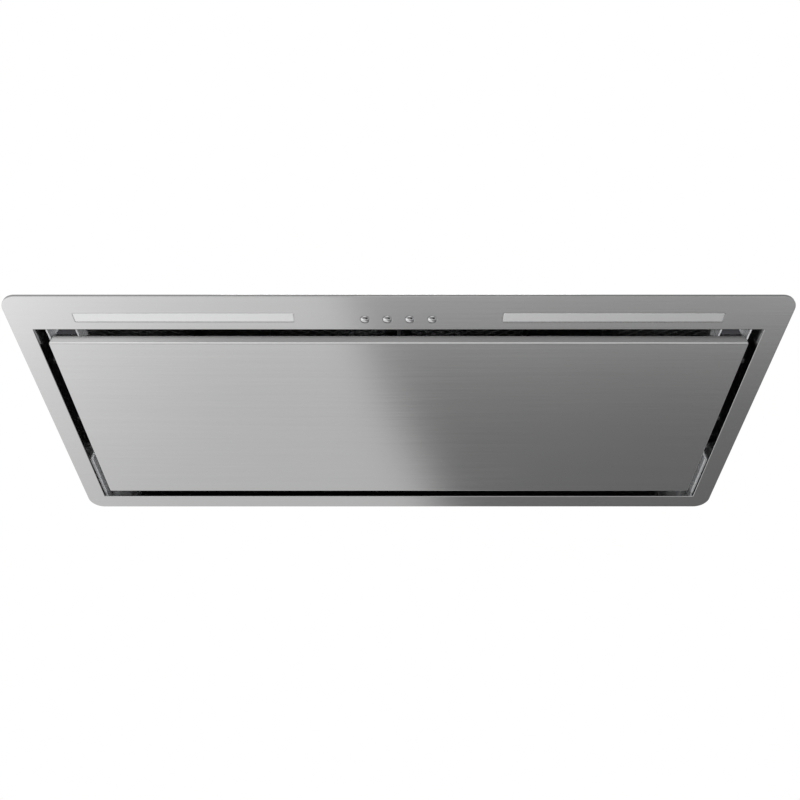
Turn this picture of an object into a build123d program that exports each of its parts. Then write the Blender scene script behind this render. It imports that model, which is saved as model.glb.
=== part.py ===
from build123d import *
import math
import os

os.makedirs("parts", exist_ok=True)

# Built-in range hood with perimeter suction. Millimetres, +Z up.
# X runs along the hood's width, -Y is its front edge, and the origin is the
# centre of the plane in which the flange's up-turned edge meets the cabinet.

# ---------------------------------------------------------------- dimensions
FLANGE_W, FLANGE_D = 698.0, 298.0      # outer size of the visible flange
FLANGE_R = 14.5                        # outer corner radius
LIP = 3.0                              # height of the up-turned edge
SHEET = 1.0                            # stainless and galvanised sheet
HEM = 6.0                              # width of the edge's inward return
OPEN_X = 329.5                         # half width of the suction opening
OPEN_Y0, OPEN_Y1 = -111.7, 130.4       # front and rear edge of the opening
SKIRT_TOP = 24.0
PANEL_X = 319.5                        # half width of the suction panel
PANEL_Y0, PANEL_Y1 = -98.4, 117.3
PANEL_Z0, PANEL_Z1 = -6.0, 4.0
PANEL_T = 0.8
HINGE_Y, HINGE_Z = 106.0, 12.0         # panel hinge axis
PIN_R = 2.0
PIN_PLAY = 0.06
LED_X0, LED_X1 = 93.0, 289.0
LED_Y = -125.45
LED_W = 9.7
BUTTON_Y = -123.5
BUTTON_X = (-30.0, -10.0, 10.0, 30.0)
BUTTON_R = 4.0
BUTTON_TRAVEL = 1.5
CASE_X = 331.5                         # half width of the lower casing, outside
CASE_Y0, CASE_Y1 = -135.0, 132.4
CASE_TOP = 96.0
PART_Y = -112.7                        # rear face of the front partition
FILTER_Z0, FILTER_Z1 = 30.0, 39.0
FILTER_Y0, FILTER_Y1 = -103.5, 122.5
FILTER_XC, FILTER_HALF = 164.0, 162.0
LATCH_TRAVEL = 7.0
MOTOR_X = 172.0                        # half width of the motor casing
MOTOR_Y0, MOTOR_Y1 = -118.0, 124.0
MOTOR_TOP = 264.0
SPIGOT_Y = -28.0
SPIGOT_R = 74.5                        # for a 150 mm duct
SPIGOT_T = 2.0
SPIGOT_TOP = 318.0
FLAP_Z = 276.0
FAN_Y, FAN_Z = 6.0, 145.0              # fan axis, along X
FAN_R = 65.0
FAN_HALF = 52.0
SCROLL_HALF = 60.0                     # half width inside
SCROLL_T = 2.5
BOX_X0, BOX_X1, BOX_Y0, BOX_Y1 = 190.0, 300.0, -50.0, 60.0
BOX_TOP = 142.0


# ------------------------------------------------------------------- helpers
def bx(x0, x1, y0, y1, z0, z1):
    return Pos((x0 + x1) / 2, (y0 + y1) / 2, (z0 + z1) / 2) * Box(
        abs(x1 - x0), abs(y1 - y0), abs(z1 - z0)
    )


ALIGN = (Align.CENTER, Align.CENTER, Align.MIN)


def zc(r, x, y, z0, z1):
    return Pos(x, y, z0) * Cylinder(r, z1 - z0, align=ALIGN)


def xc(r, x0, x1, y, z):
    return Location((x0, y, z), (0, 90, 0)) * Cylinder(r, x1 - x0, align=ALIGN)


def yc(r, x, y0, y1, z):
    return Location((x, y0, z), (-90, 0, 0)) * Cylinder(r, y1 - y0, align=ALIGN)


def rounded(w, d, r, z0, z1, x=0.0, y=0.0):
    return Pos(x, y, z0) * extrude(RectangleRounded(w, d, r), z1 - z0)


def hexa(af, x, y, z0, z1):
    return Pos(x, y, z0) * extrude(RegularPolygon(af / 2, 6, major_radius=False), z1 - z0)


def total(items):
    items = list(items)
    shape = items[0]
    if len(items) > 1:
        shape = shape.fuse(*items[1:])
    return shape


def group(items):
    solids = []
    for item in items:
        solids += list(item.solids())
    return Compound(children=solids) if len(solids) > 1 else solids[0]


def mirror_x(shape):
    return mirror(shape, about=Plane.YZ)


def pan_screw_z(x, y, z, r=2.0, head=3.8, length=8.0, up=True):
    """Pan-head screw: head on the surface at z, shank going down (head up)."""
    if up:
        body = zc(head, x, y, z, z + 2.0) + zc(r, x, y, z - length, z)
        slot = bx(x - head * 0.55, x + head * 0.55, y - 0.4, y + 0.4, z + 1.1, z + 2.1)
        slot += bx(x - 0.4, x + 0.4, y - head * 0.55, y + head * 0.55, z + 1.1, z + 2.1)
    else:
        body = zc(head, x, y, z - 2.0, z) + zc(r, x, y, z, z + length)
        slot = bx(x - head * 0.55, x + head * 0.55, y - 0.4, y + 0.4, z - 2.1, z - 1.1)
        slot += bx(x - 0.4, x + 0.4, y - head * 0.55, y + head * 0.55, z - 2.1, z - 1.1)
    return body - slot


def save(shape, name):
    export_step(shape, "parts/" + name + ".step")


# -------------------------------------------------------------- bottom frame
Z_FACE = -LIP                          # visible plane
Z_BACK = -LIP + SHEET                  # upper side of the flange sheet

frame = rounded(FLANGE_W, FLANGE_D, FLANGE_R, Z_FACE, 0.0)
frame -= rounded(FLANGE_W - 2 * SHEET, FLANGE_D - 2 * SHEET, FLANGE_R - SHEET, Z_BACK, -SHEET)
frame -= rounded(FLANGE_W - 2 * HEM, FLANGE_D - 2 * HEM, FLANGE_R - HEM, -SHEET - 0.1, 0.1)
frame += bx(-OPEN_X - SHEET, OPEN_X + SHEET, OPEN_Y0 - SHEET, OPEN_Y1 + SHEET, Z_FACE, SKIRT_TOP)
frame -= bx(-OPEN_X, OPEN_X, OPEN_Y0, OPEN_Y1, Z_FACE - 1, SKIRT_TOP + 1)
# folds: outer edge and the four skirts
outer_edges = [
    e for e in frame.edges()
    if abs(e.center().Z - Z_FACE) < 0.01
    and (abs(e.center().X) > FLANGE_W / 2 - FLANGE_R or abs(e.center().Y) > FLANGE_D / 2 - FLANGE_R)
]
frame = fillet(outer_edges, 0.8)
inner_edges = [
    e for e in frame.edges()
    if abs(e.center().Z - Z_FACE) < 0.01
    and abs(e.center().X) < OPEN_X + 0.2 and OPEN_Y0 - 0.2 < e.center().Y < OPEN_Y1 + 0.2
    and e.length > 200
]
frame = fillet(inner_edges, 0.95)
# lamp slots and button holes
for s in (-1, 1):
    frame -= rounded(LED_X1 - LED_X0, LED_W, 1.0, Z_FACE - 1, Z_BACK + 1, s * (LED_X0 + LED_X1) / 2, LED_Y)
for x in BUTTON_X:
    frame -= zc(BUTTON_R + 0.3, x, BUTTON_Y, Z_FACE - 1, Z_BACK + 1)
# weld studs on the upper side
STUDS = []
for s in (-1, 1):
    STUDS += [(s * 50.0, BUTTON_Y, 1.5, 5.5), (s * 86.0, LED_Y, 1.5, 5.5), (s * 296.0, LED_Y, 1.5, 5.5),
              (s * 68.0, LED_Y, 2.0, 7.0), (s * 314.0, LED_Y, 2.0, 7.0)]
for x, y, r, top in STUDS:
    frame += zc(r, x, y, Z_BACK, top)
# clearance for the fixing screws in the skirts: sides and rear
SKIRT_SCREWS_SIDE = (-60.0, 20.0, 80.0, 120.0)
SKIRT_SCREWS_REAR = (-220.0, 0.0, 220.0)
SKIRT_Z = 14.0
for s in (-1, 1):
    for y in SKIRT_SCREWS_SIDE:
        x0, x1 = sorted((s * (OPEN_X - 1), s * (OPEN_X + SHEET + 1)))
        frame -= xc(2.0, x0, x1, y, SKIRT_Z)
for x in SKIRT_SCREWS_REAR:
    frame -= yc(2.0, x, OPEN_Y1 - 1, OPEN_Y1 + SHEET + 1, SKIRT_Z)
CATCH_SCREWS = (303.0, 318.0)
for s in (-1, 1):
    for x in CATCH_SCREWS:
        frame -= yc(1.6, s * x, OPEN_Y0 - SHEET - 1, OPEN_Y0 + 1, SKIRT_Z)
save(frame, "bottom_frame")

# ------------------------------------------------------------ suction panel
skin = bx(-PANEL_X, PANEL_X, PANEL_Y0, PANEL_Y1, PANEL_Z0, PANEL_Z1)
skin = fillet([e for e in skin.edges() if abs(e.center().Z - PANEL_Z0) < 0.01], 1.4)
hollow = bx(-PANEL_X + PANEL_T, PANEL_X - PANEL_T, PANEL_Y0 + PANEL_T, PANEL_Y1 - PANEL_T,
            PANEL_Z0 + PANEL_T, PANEL_Z1 + 5)
hollow = fillet([e for e in hollow.edges() if abs(e.center().Z - (PANEL_Z0 + PANEL_T)) < 0.01], 0.6)
skin -= hollow
save(skin, "panel_skin")

IN_X = PANEL_X - PANEL_T - 0.2
IN_Y0, IN_Y1 = PANEL_Y0 + PANEL_T + 0.2, PANEL_Y1 - PANEL_T - 0.2
inner = bx(-IN_X, IN_X, IN_Y0, IN_Y1, -3.0, 3.0)
inner -= bx(-IN_X + 1, IN_X - 1, IN_Y0 + 1, IN_Y1 - 1, -4.0, 2.0)
# two pressed stiffening beads
for y in (-45.0, 60.0):
    inner -= rounded(520, 10, 4.9, 2.5, 4.0, 0, y)
save(inner, "panel_inner_tray")

arms, strikes = [], []
for s in (-1, 1):
    foot = bx(298.0, 314.0, 84.0, 112.0, 3.0, 4.5)
    up = bx(304.0, 306.0, 98.0, 112.0, 4.5, HINGE_Z) + xc(6.0, 304.0, 306.0, HINGE_Y, HINGE_Z)
    up += bx(304.0, 306.0, 86.0, 100.0, 4.5, 8.0)
    up -= bx(303.0, 307.0, 111.9, 114.0, 0.0, HINGE_Z + 8)
    arm = foot + up
    arm -= xc(PIN_R + PIN_PLAY, 300.0, 310.0, HINGE_Y, HINGE_Z)
    # rivets of the foot
    for y in (88.0, 94.0):
        arm += zc(1.8, 310.0, y, 4.5, 5.4)
    strike = rounded(18, 12, 1.5, 3.0, 8.2, 309.0, -91.0)
    strike -= bx(301.2, 316.8, -95.8, -86.2, 3.0 - 1, 7.2)
    if s < 0:
        arm, strike = mirror_x(arm), mirror_x(strike)
    arms.append(arm)
    strikes.append(strike)
save(group(arms), "panel_hinge_arms")
save(group(strikes), "strike_plates")

# ----------------------------------------------- hinge brackets, hinge pins
brackets, pins = [], []
for s in (-1, 1):
    b = bx(OPEN_X - 1.5, OPEN_X, 72.4, 130.2, 2.0, 27.5)
    b += bx(297.0, OPEN_X, 72.4, 130.2, 26.0, 27.5)
    cheek = bx(297.0, 298.5, HINGE_Y - 8, HINGE_Y + 6, HINGE_Z, 26.5)
    cheek += xc(6.0, 297.0, 298.5, HINGE_Y, HINGE_Z)
    b += cheek
    b += bx(297.0, OPEN_X - 1.5, 72.4, 73.9, 20.0, 26.5)
    b -= xc(PIN_R, 290.0, 335.0, HINGE_Y, HINGE_Z)
    for y in (80.0, 120.0):
        b -= xc(2.0, OPEN_X - 3, OPEN_X + 1, y, SKIRT_Z)
    p = xc(PIN_R, 296.0, OPEN_X, HINGE_Y, HINGE_Z) + xc(3.4, 294.8, 297.0, HINGE_Y, HINGE_Z)
    if s < 0:
        b, p = mirror_x(b), mirror_x(p)
    brackets.append(b)
    pins.append(p)
save(group(brackets), "hinge_brackets")
save(group(pins), "hinge_pins")

# -------------------------------------------------- front catch with magnet
mbs, mags = [], []
for s in (-1, 1):
    m = bx(296.0, 325.0, OPEN_Y0, OPEN_Y0 + 1.5, 2.0, 25.0)
    m += bx(296.0, 325.0, OPEN_Y0, -84.0, 23.5, 25.0)
    m += bx(296.0, 297.5, OPEN_Y0, -84.0, 8.0, 25.0)
    m += bx(323.5, 325.0, OPEN_Y0, -84.0, 8.0, 25.0)
    m -= bx(295.0, 298.0, -98.0, -80.0, 0.0, 8.5)
    m -= bx(323.0, 326.0, -98.0, -80.0, 0.0, 8.5)
    for x in (303.0, 318.0):
        m -= yc(1.6, x, OPEN_Y0 - 1, OPEN_Y0 + 3, 14.0)
    g = rounded(18, 10, 1.0, 8.6, 23.5, 309.0, -91.0)
    if s < 0:
        m, g = mirror_x(m), mirror_x(g)
    mbs.append(m)
    mags.append(g)
save(group(mbs), "magnet_brackets")
save(group(mags), "catch_magnets")

# ------------------------------------------------------------ lower casing
IX = CASE_X - SHEET
case = bx(-CASE_X, CASE_X, CASE_Y0, CASE_Y1, Z_BACK, CASE_TOP)
case -= bx(-IX, IX, CASE_Y0 + SHEET, CASE_Y1 - SHEET, Z_BACK - 1, CASE_TOP - SHEET)
# opening for the fan
case -= bx(-160.0, 160.0, -112.0, 118.0, CASE_TOP - 3, CASE_TOP + 1)
# foot tabs of the front wall, on the weld studs
for s in (-1, 1):
    for x in (68.0, 314.0):
        t = bx(s * x - 6, s * x + 6, CASE_Y0 + SHEET, -117.0, Z_BACK, Z_BACK + SHEET)
        t += bx(s * x - 6, s * x + 6, CASE_Y0 + SHEET, CASE_Y0 + 2 * SHEET, Z_BACK, 10.0)
        t -= zc(2.0, s * x, LED_Y, Z_BACK - 1, Z_BACK + 2)
        case += t
for s in (-1, 1):
    for y in SKIRT_SCREWS_SIDE:
        x0, x1 = sorted((s * (IX - 0.5), s * (CASE_X + 1)))
        case -= xc(2.0, x0, x1, y, SKIRT_Z)
    # holes through which the hood is fixed to the cabinet's sides
    for y in (-80.0, 80.0):
        for z in (50.0, 80.0):
            x0, x1 = sorted((s * (IX - 0.5), s * (CASE_X + 1)))
            case -= xc(2.75, x0, x1, y, z)
for x in SKIRT_SCREWS_REAR:
    case -= yc(2.0, x, CASE_Y1 - 2, CASE_Y1 + 1, SKIRT_Z)
# lead hole under the electrical box
case -= zc(7.0, 215.0, -30.0, CASE_TOP - 3, CASE_TOP + 1)
MOTOR_FLANGE_SCREWS = [(s * 178.0, y) for s in (-1, 1) for y in (-100.0, -35.0, 40.0, 110.0)]
for x, y in MOTOR_FLANGE_SCREWS:
    case -= zc(2.0, x, y, CASE_TOP - 3, CASE_TOP + 1)
BOX_SCREWS = [(x, y) for x in (198.0, 292.0) for y in (-42.0, 52.0)]
for x, y in BOX_SCREWS:
    case -= zc(1.7, x, y, CASE_TOP - 3, CASE_TOP + 1)
save(case, "lower_casing")

# --------------------------------------------------------- front partition
wall = bx(-IX, IX, PART_Y - SHEET, PART_Y, Z_BACK, CASE_TOP - SHEET)
wall += bx(-IX, IX, PART_Y - 12, PART_Y, CASE_TOP - 2 * SHEET, CASE_TOP - SHEET)
wall -= bx(-320.0, -300.0, PART_Y - 14, PART_Y - SHEET, CASE_TOP - 3, CASE_TOP)
wall -= bx(300.0, 320.0, PART_Y - 14, PART_Y - SHEET, CASE_TOP - 3, CASE_TOP)
for s in (-1, 1):
    for x in (303.0, 318.0):
        wall -= yc(1.6, s * x, PART_Y - 3, PART_Y + 1, 14.0)
wall -= yc(5.0, 215.0, PART_Y - 3, PART_Y + 1, 80.0)
save(wall, "front_partition")

# ------------------------------------------------------------ filter rails
rail_f = bx(-IX, IX, PART_Y, PART_Y + 1.2, SKIRT_TOP + 1.3, 60.0)
rail_f += bx(-IX, IX, PART_Y, -105.0, 28.6, 30.0)
rail_r = bx(-IX, IX, CASE_Y1 - SHEET - 1.2, CASE_Y1 - SHEET, SKIRT_TOP + 0.2, 60.0)
rail_r += bx(-IX, IX, 115.5, CASE_Y1 - SHEET, 28.6, 30.0)
for s in (-1, 1):
    x0, x1 = sorted((s * 296.0, s * 331.0))
    rail_r -= bx(x0, x1, 110.0, 130.2, 20.0, 28.0)
save(group([rail_f, rail_r]), "filter_rails")

# ---------------------------------------------------------- grease filters
for name, xc0 in (("left", -FILTER_XC), ("right", FILTER_XC)):
    f = bx(xc0 - FILTER_HALF, xc0 + FILTER_HALF, FILTER_Y0, FILTER_Y1, FILTER_Z0, FILTER_Z1)
    f = fillet(f.edges().filter_by(Axis.Z), 3.0)
    f -= bx(xc0 - FILTER_HALF + 10, xc0 + FILTER_HALF - 10, FILTER_Y0 + 10, FILTER_Y1 - 10, FILTER_Z0 - 1, FILTER_Z1 + 1)
    f -= bx(xc0 - FILTER_HALF + 1, xc0 + FILTER_HALF - 1, FILTER_Y0 + 1, FILTER_Y1 - 1, FILTER_Z0 + 1, FILTER_Z1 - 1)
    # latch pocket
    px0, px1 = xc0 - 40.0, xc0 + 40.0
    f += bx(px0, px1, FILTER_Y0, -48.0, 28.8, FILTER_Z1)
    f -= bx(px0 + 1.5, px1 - 1.5, FILTER_Y0 + 1.5, -49.5, 28.7, FILTER_Z1 - 1.5)
    # guide ledges for the slide, above the rail
    for s in (-1, 1):
        x0, x1 = sorted((xc0 + s * 31.0, xc0 + s * 38.6))
        f += bx(x0, x1, FILTER_Y0 + 1.5, -49.5, 28.8, 30.1)
        x0, x1 = sorted((xc0 + s * 31.0, xc0 + s * 38.6))
        f += bx(x0, x1, FILTER_Y0 + 1.5, -49.5, 33.0, FILTER_Z1 - 1.0)
    f -= bx(xc0 - 16.0, xc0 + 16.0, FILTER_Y0 - 1, FILTER_Y0 + 2, 30.1, 32.9)
    # spring seat
    f += yc(1.2, xc0, -54.0, -49.0, 31.5)
    save(f, "filter_frame_" + name)
    # three layers of expanded mesh, a coarse one between two fine ones
    layers = []
    for z0, z1 in ((31.0, 31.5), (34.6, 35.4), (37.5, 38.0)):
        layer = bx(xc0 - FILTER_HALF + 1.2, xc0 + FILTER_HALF - 1.2, FILTER_Y0 + 1.2, FILTER_Y1 - 1.2, z0, z1)
        layer = fillet(layer.edges().filter_by(Axis.Z), 2.0)
        layer -= bx(px0 - 0.2, px1 + 0.2, FILTER_Y0, -47.8, FILTER_Z0, FILTER_Z1)
        layers.append(layer)
    save(group(layers), "filter_mesh_" + name)
    latch = bx(xc0 - 35.0, xc0 + 35.0, -94.0, -66.0, 30.4, 32.6)
    latch += bx(xc0 - 15.0, xc0 + 15.0, -111.0, -93.0, 30.4, 32.6)
    latch += bx(xc0 - 25.0, xc0 + 25.0, -71.6, -70.0, 25.5, 31.0)
    latch = fillet([e for e in latch.edges().filter_by(Axis.Z) if e.center().Y < -110], 3.0)
    latch -= bx(xc0 - 2.6, xc0 + 2.6, -69.0, -65.0, 30.0, 33.0)
    save(latch, "filter_latch_" + name)
# one return spring per latch, between the slide and the pocket's rear wall
springs = []
for xc0 in (-FILTER_XC, FILTER_XC):
    path = Location((xc0, -68.8, 31.5), (-90, 0, 0)) * Helix(pitch=2.25, height=18.0, radius=1.85)
    start = path @ 0
    wire = sweep(Plane(origin=start, z_dir=path % 0) * Circle(0.25), path, is_frenet=True)
    springs.append(wire)
save(group(springs), "filter_latch_springs")

# ------------------------------------------------------------------- lamps
housings, boards = [], []
for name, s in (("left", -1), ("right", 1)):
    xm = s * (LED_X0 + LED_X1) / 2
    length = LED_X1 - LED_X0
    d = rounded(length - 0.3, LED_W - 0.3, 0.85, Z_FACE + 0.25, Z_BACK, xm, LED_Y)
    d += bx(xm - length / 2 - 0.8, xm + length / 2 + 0.8, LED_Y - 5.6, LED_Y + 5.6, Z_BACK, Z_BACK + 1.4)
    save(d, "lamp_diffuser_" + name)
    h0, h1 = xm - length / 2 - 2, xm + length / 2 + 2
    h = bx(h0, h1, LED_Y - 7, LED_Y + 7, Z_BACK, 12.0)
    h -= bx(h0 + 1.2, h1 - 1.2, LED_Y - 5.6, LED_Y + 5.6, Z_BACK - 1, 10.8)
    h -= bx(h0 + 0.4, h1 - 0.4, LED_Y - 5.6, LED_Y + 5.6, Z_BACK - 1, Z_BACK + 1.4)
    for x in (86.0, 296.0):
        e0, e1 = sorted((s * (x - 5.2), s * (x + 5.2)))
        if x < 100:
            e0, e1 = sorted((s * (x - 5.2), s * (LED_X0 - 1.9)))
        else:
            e0, e1 = sorted((s * (LED_X1 + 1.9), s * (x + 5.2)))
        h += bx(e0, e1, LED_Y - 7, LED_Y + 7, Z_BACK, Z_BACK + 2.0)
        h -= zc(1.5, s * x, LED_Y, Z_BACK - 1, Z_BACK + 3)
    # lead exit at the inner end, and rails that hold the lamp board
    ex0, ex1 = sorted((s * (LED_X0 - 2.5), s * (LED_X0 + 0.5)))
    h -= bx(ex0, ex1, LED_Y - 2.5, LED_Y + 2.5, 5.9, 9.0)
    housings.append(h)
    board = bx(xm - length / 2 - 0.6, xm + length / 2 + 0.6, LED_Y - 5.6, LED_Y + 5.6, 4.2, 5.8)
    chips = []
    for i in range(14):
        x = xm - length / 2 + 7 + i * (length - 14) / 13.0
        chips.append(bx(x - 1.75, x + 1.75, LED_Y - 1.4, LED_Y + 1.4, 3.5, 4.2))
    board = total([board] + chips)
    boards.append(board)
save(group(housings), "lamp_housings")
save(group(boards), "lamp_boards")

driver = bx(150.0, 262.0, -131.0, PART_Y - SHEET, 30.0, 62.0)
driver = fillet(driver.edges().filter_by(Axis.Z), 2.0)
driver -= bx(152.0, 260.0, -129.0, PART_Y - SHEET - 2, 28.0, 60.0)
driver += bx(150.4, 261.6, -130.6, PART_Y - SHEET - 0.4, 30.0, 32.0)
driver += bx(142.0, 151.0, PART_Y - SHEET - 2.0, PART_Y - SHEET, 36.0, 56.0)
driver += bx(261.0, 270.0, PART_Y - SHEET - 2.0, PART_Y - SHEET, 36.0, 56.0)
driver -= yc(1.6, 146.0, PART_Y - 5, PART_Y, 46.0)
driver -= yc(1.6, 266.0, PART_Y - 5, PART_Y, 46.0)
save(driver, "lamp_driver")

# ----------------------------------------------------------------- buttons
for i, x in enumerate(BUTTON_X):
    # domed cap: sphere cap on a short cylinder
    cap_h = 1.6
    sphere_r = (BUTTON_R ** 2 + cap_h ** 2) / (2 * cap_h)
    dome = Pos(x, BUTTON_Y, Z_FACE - cap_h + sphere_r) * Sphere(sphere_r)
    dome &= zc(BUTTON_R, x, BUTTON_Y, Z_FACE - cap_h - 0.5, Z_FACE)
    b = dome + zc(BUTTON_R, x, BUTTON_Y, Z_FACE - 0.001, Z_BACK)
    b += zc(5.2, x, BUTTON_Y, Z_BACK, Z_BACK + 1.0) + zc(2.4, x, BUTTON_Y, Z_BACK, 14.0)
    save(b, "push_button_%d" % (i + 1))
    path = Pos(x, BUTTON_Y, Z_BACK + 1.4) * Helix(pitch=1.85, height=8.2, radius=3.6)
    start = path @ 0
    coil = sweep(Plane(origin=start, z_dir=path % 0) * Circle(0.25), path, is_frenet=True)
    save(coil, "button_spring_%d" % (i + 1))

carrier = bx(-44.0, 44.0, -132.0, -115.0, Z_BACK, 12.0)
carrier += bx(-55.0, 55.0, -130.0, -117.0, Z_BACK, Z_BACK + 2.5)
for x in BUTTON_X:
    carrier -= zc(5.5, x, BUTTON_Y, Z_BACK - 1, 8.0)
    carrier -= zc(2.5, x, BUTTON_Y, 7.0, 13.0)
for s in (-1, 1):
    carrier += zc(3.0, s * 40.0, BUTTON_Y, 11.0, 20.0)
    carrier -= zc(1.0, s * 40.0, BUTTON_Y, 12.0, 21.0)
    carrier -= zc(1.5, s * 50.0, BUTTON_Y, Z_BACK - 1, 3.0)
save(carrier, "button_carrier")

pcb = bx(-46.0, 46.0, -131.0, -116.0, 20.0, 21.6)
for s in (-1, 1):
    pcb -= zc(1.3, s * 40.0, BUTTON_Y, 19.0, 23.0)
bits = [pcb]
for x in BUTTON_X:
    bits.append(bx(x - 3.0, x + 3.0, BUTTON_Y - 3.0, BUTTON_Y + 3.0, 16.6, 20.0) + zc(1.75, x, BUTTON_Y, 15.7, 16.6))
bits.append(bx(-8.0, 8.0, -129.0, -122.0, 21.6, 23.6))
bits.append(bx(-36.0, -22.0, -129.5, -121.5, 21.6, 29.0))
bits.append(zc(3.0, 20.0, -124.5, 21.6, 31.0))
save(total(bits), "control_board")

# ------------------------------------------------------------ motor casing
mi = MOTOR_X - SHEET
mcase = bx(-MOTOR_X, MOTOR_X, MOTOR_Y0, MOTOR_Y1, CASE_TOP, MOTOR_TOP)
mcase -= bx(-mi, mi, MOTOR_Y0 + SHEET, MOTOR_Y1 - SHEET, CASE_TOP - 1, MOTOR_TOP - SHEET)
mcase -= bx(-mi + 11, mi - 11, MOTOR_Y0 + 12, MOTOR_Y1 - 12, MOTOR_TOP - 3, MOTOR_TOP + 1)
# outward feet on the two sides
for s in (-1, 1):
    x0, x1 = sorted((s * MOTOR_X, s * (MOTOR_X + 12)))
    mcase += bx(x0 - (0.5 if s > 0 else 0), x1 + (0.5 if s < 0 else 0), MOTOR_Y0, MOTOR_Y1, CASE_TOP, CASE_TOP + SHEET)
for x, y in MOTOR_FLANGE_SCREWS:
    mcase -= zc(2.0, x, y, CASE_TOP - 1, CASE_TOP + 3)
TOP_SCREWS = [(x, y) for x in (-166.0, 0.0, 166.0) for y in (MOTOR_Y0 + 6, MOTOR_Y1 - 6)] + [(-166.0, 3.0), (166.0, 3.0)]
TOP_SCREWS = [(x, y) for x, y in TOP_SCREWS if not (x == 0.0 and y < 0)] + [(-90.0, MOTOR_Y0 + 6), (90.0, MOTOR_Y0 + 6)]
for x, y in TOP_SCREWS:
    mcase -= zc(2.0, x, y, MOTOR_TOP - 3, MOTOR_TOP + 1)
# lead hole in the right side
LEAD_Y, LEAD_Z = 20.0, 118.0
mcase -= xc(6.0, mi - 3, MOTOR_X + 1, LEAD_Y, LEAD_Z)
save(mcase, "motor_casing")

top = rounded(2 * MOTOR_X, MOTOR_Y1 - MOTOR_Y0, 2.0, MOTOR_TOP, MOTOR_TOP + SHEET, 0, (MOTOR_Y0 + MOTOR_Y1) / 2)
top -= zc(70.0, 0, SPIGOT_Y, MOTOR_TOP - 1, MOTOR_TOP + 2)
for x, y in TOP_SCREWS:
    top -= zc(2.0, x, y, MOTOR_TOP - 1, MOTOR_TOP + 2)
SPIGOT_SCREWS = [(81.0 * math.cos(math.radians(a)), SPIGOT_Y + 81.0 * math.sin(math.radians(a))) for a in (30, 150, 210, 330)]
for x, y in SPIGOT_SCREWS:
    top -= zc(1.5, x, y, MOTOR_TOP - 1, MOTOR_TOP + 2)
save(top, "top_plate")

# ------------------------------------------------------------------ scroll
A = 4.5
FOOT_R = 77.5                          # radius of the motor bracket's feet


def spiral(off):
    """Outline of the volute in the YZ plane, grown outwards by off."""
    c0 = (FAN_Y + A, FAN_Z + A)
    c1 = (FAN_Y + A, FAN_Z - A)
    c2 = (FAN_Y - A, FAN_Z - A)
    c3 = (FAN_Y - A, FAN_Z + A)
    r0, r1, r2, r3 = 71.0 + off, 80.0 + off, 89.0 + off, 98.0 + off

    def pt(c, r, deg):
        return (c[0] + r * math.cos(math.radians(deg)), c[1] + r * math.sin(math.radians(deg)))

    t = 128.0
    tongue = pt(c0, r0, t)
    top_y = 12.0
    z1 = 262.0
    edges = [
        ThreePointArc(pt(c0, r0, 90), pt(c0, r0, (90 + t) / 2), tongue),
        ThreePointArc(pt(c1, r1, 0), pt(c1, r1, 45), pt(c1, r1, 90)),
        ThreePointArc(pt(c2, r2, -90), pt(c2, r2, -45), pt(c2, r2, 0)),
        ThreePointArc(pt(c3, r3, 180), pt(c3, r3, 225), pt(c3, r3, 270)),
        Line(pt(c3, r3, 180), (c3[0] - r3, z1)),
        Line((c3[0] - r3, z1), (top_y + off, z1)),
        Line((top_y + off, z1), tongue),
    ]
    return make_face(edges)


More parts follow.
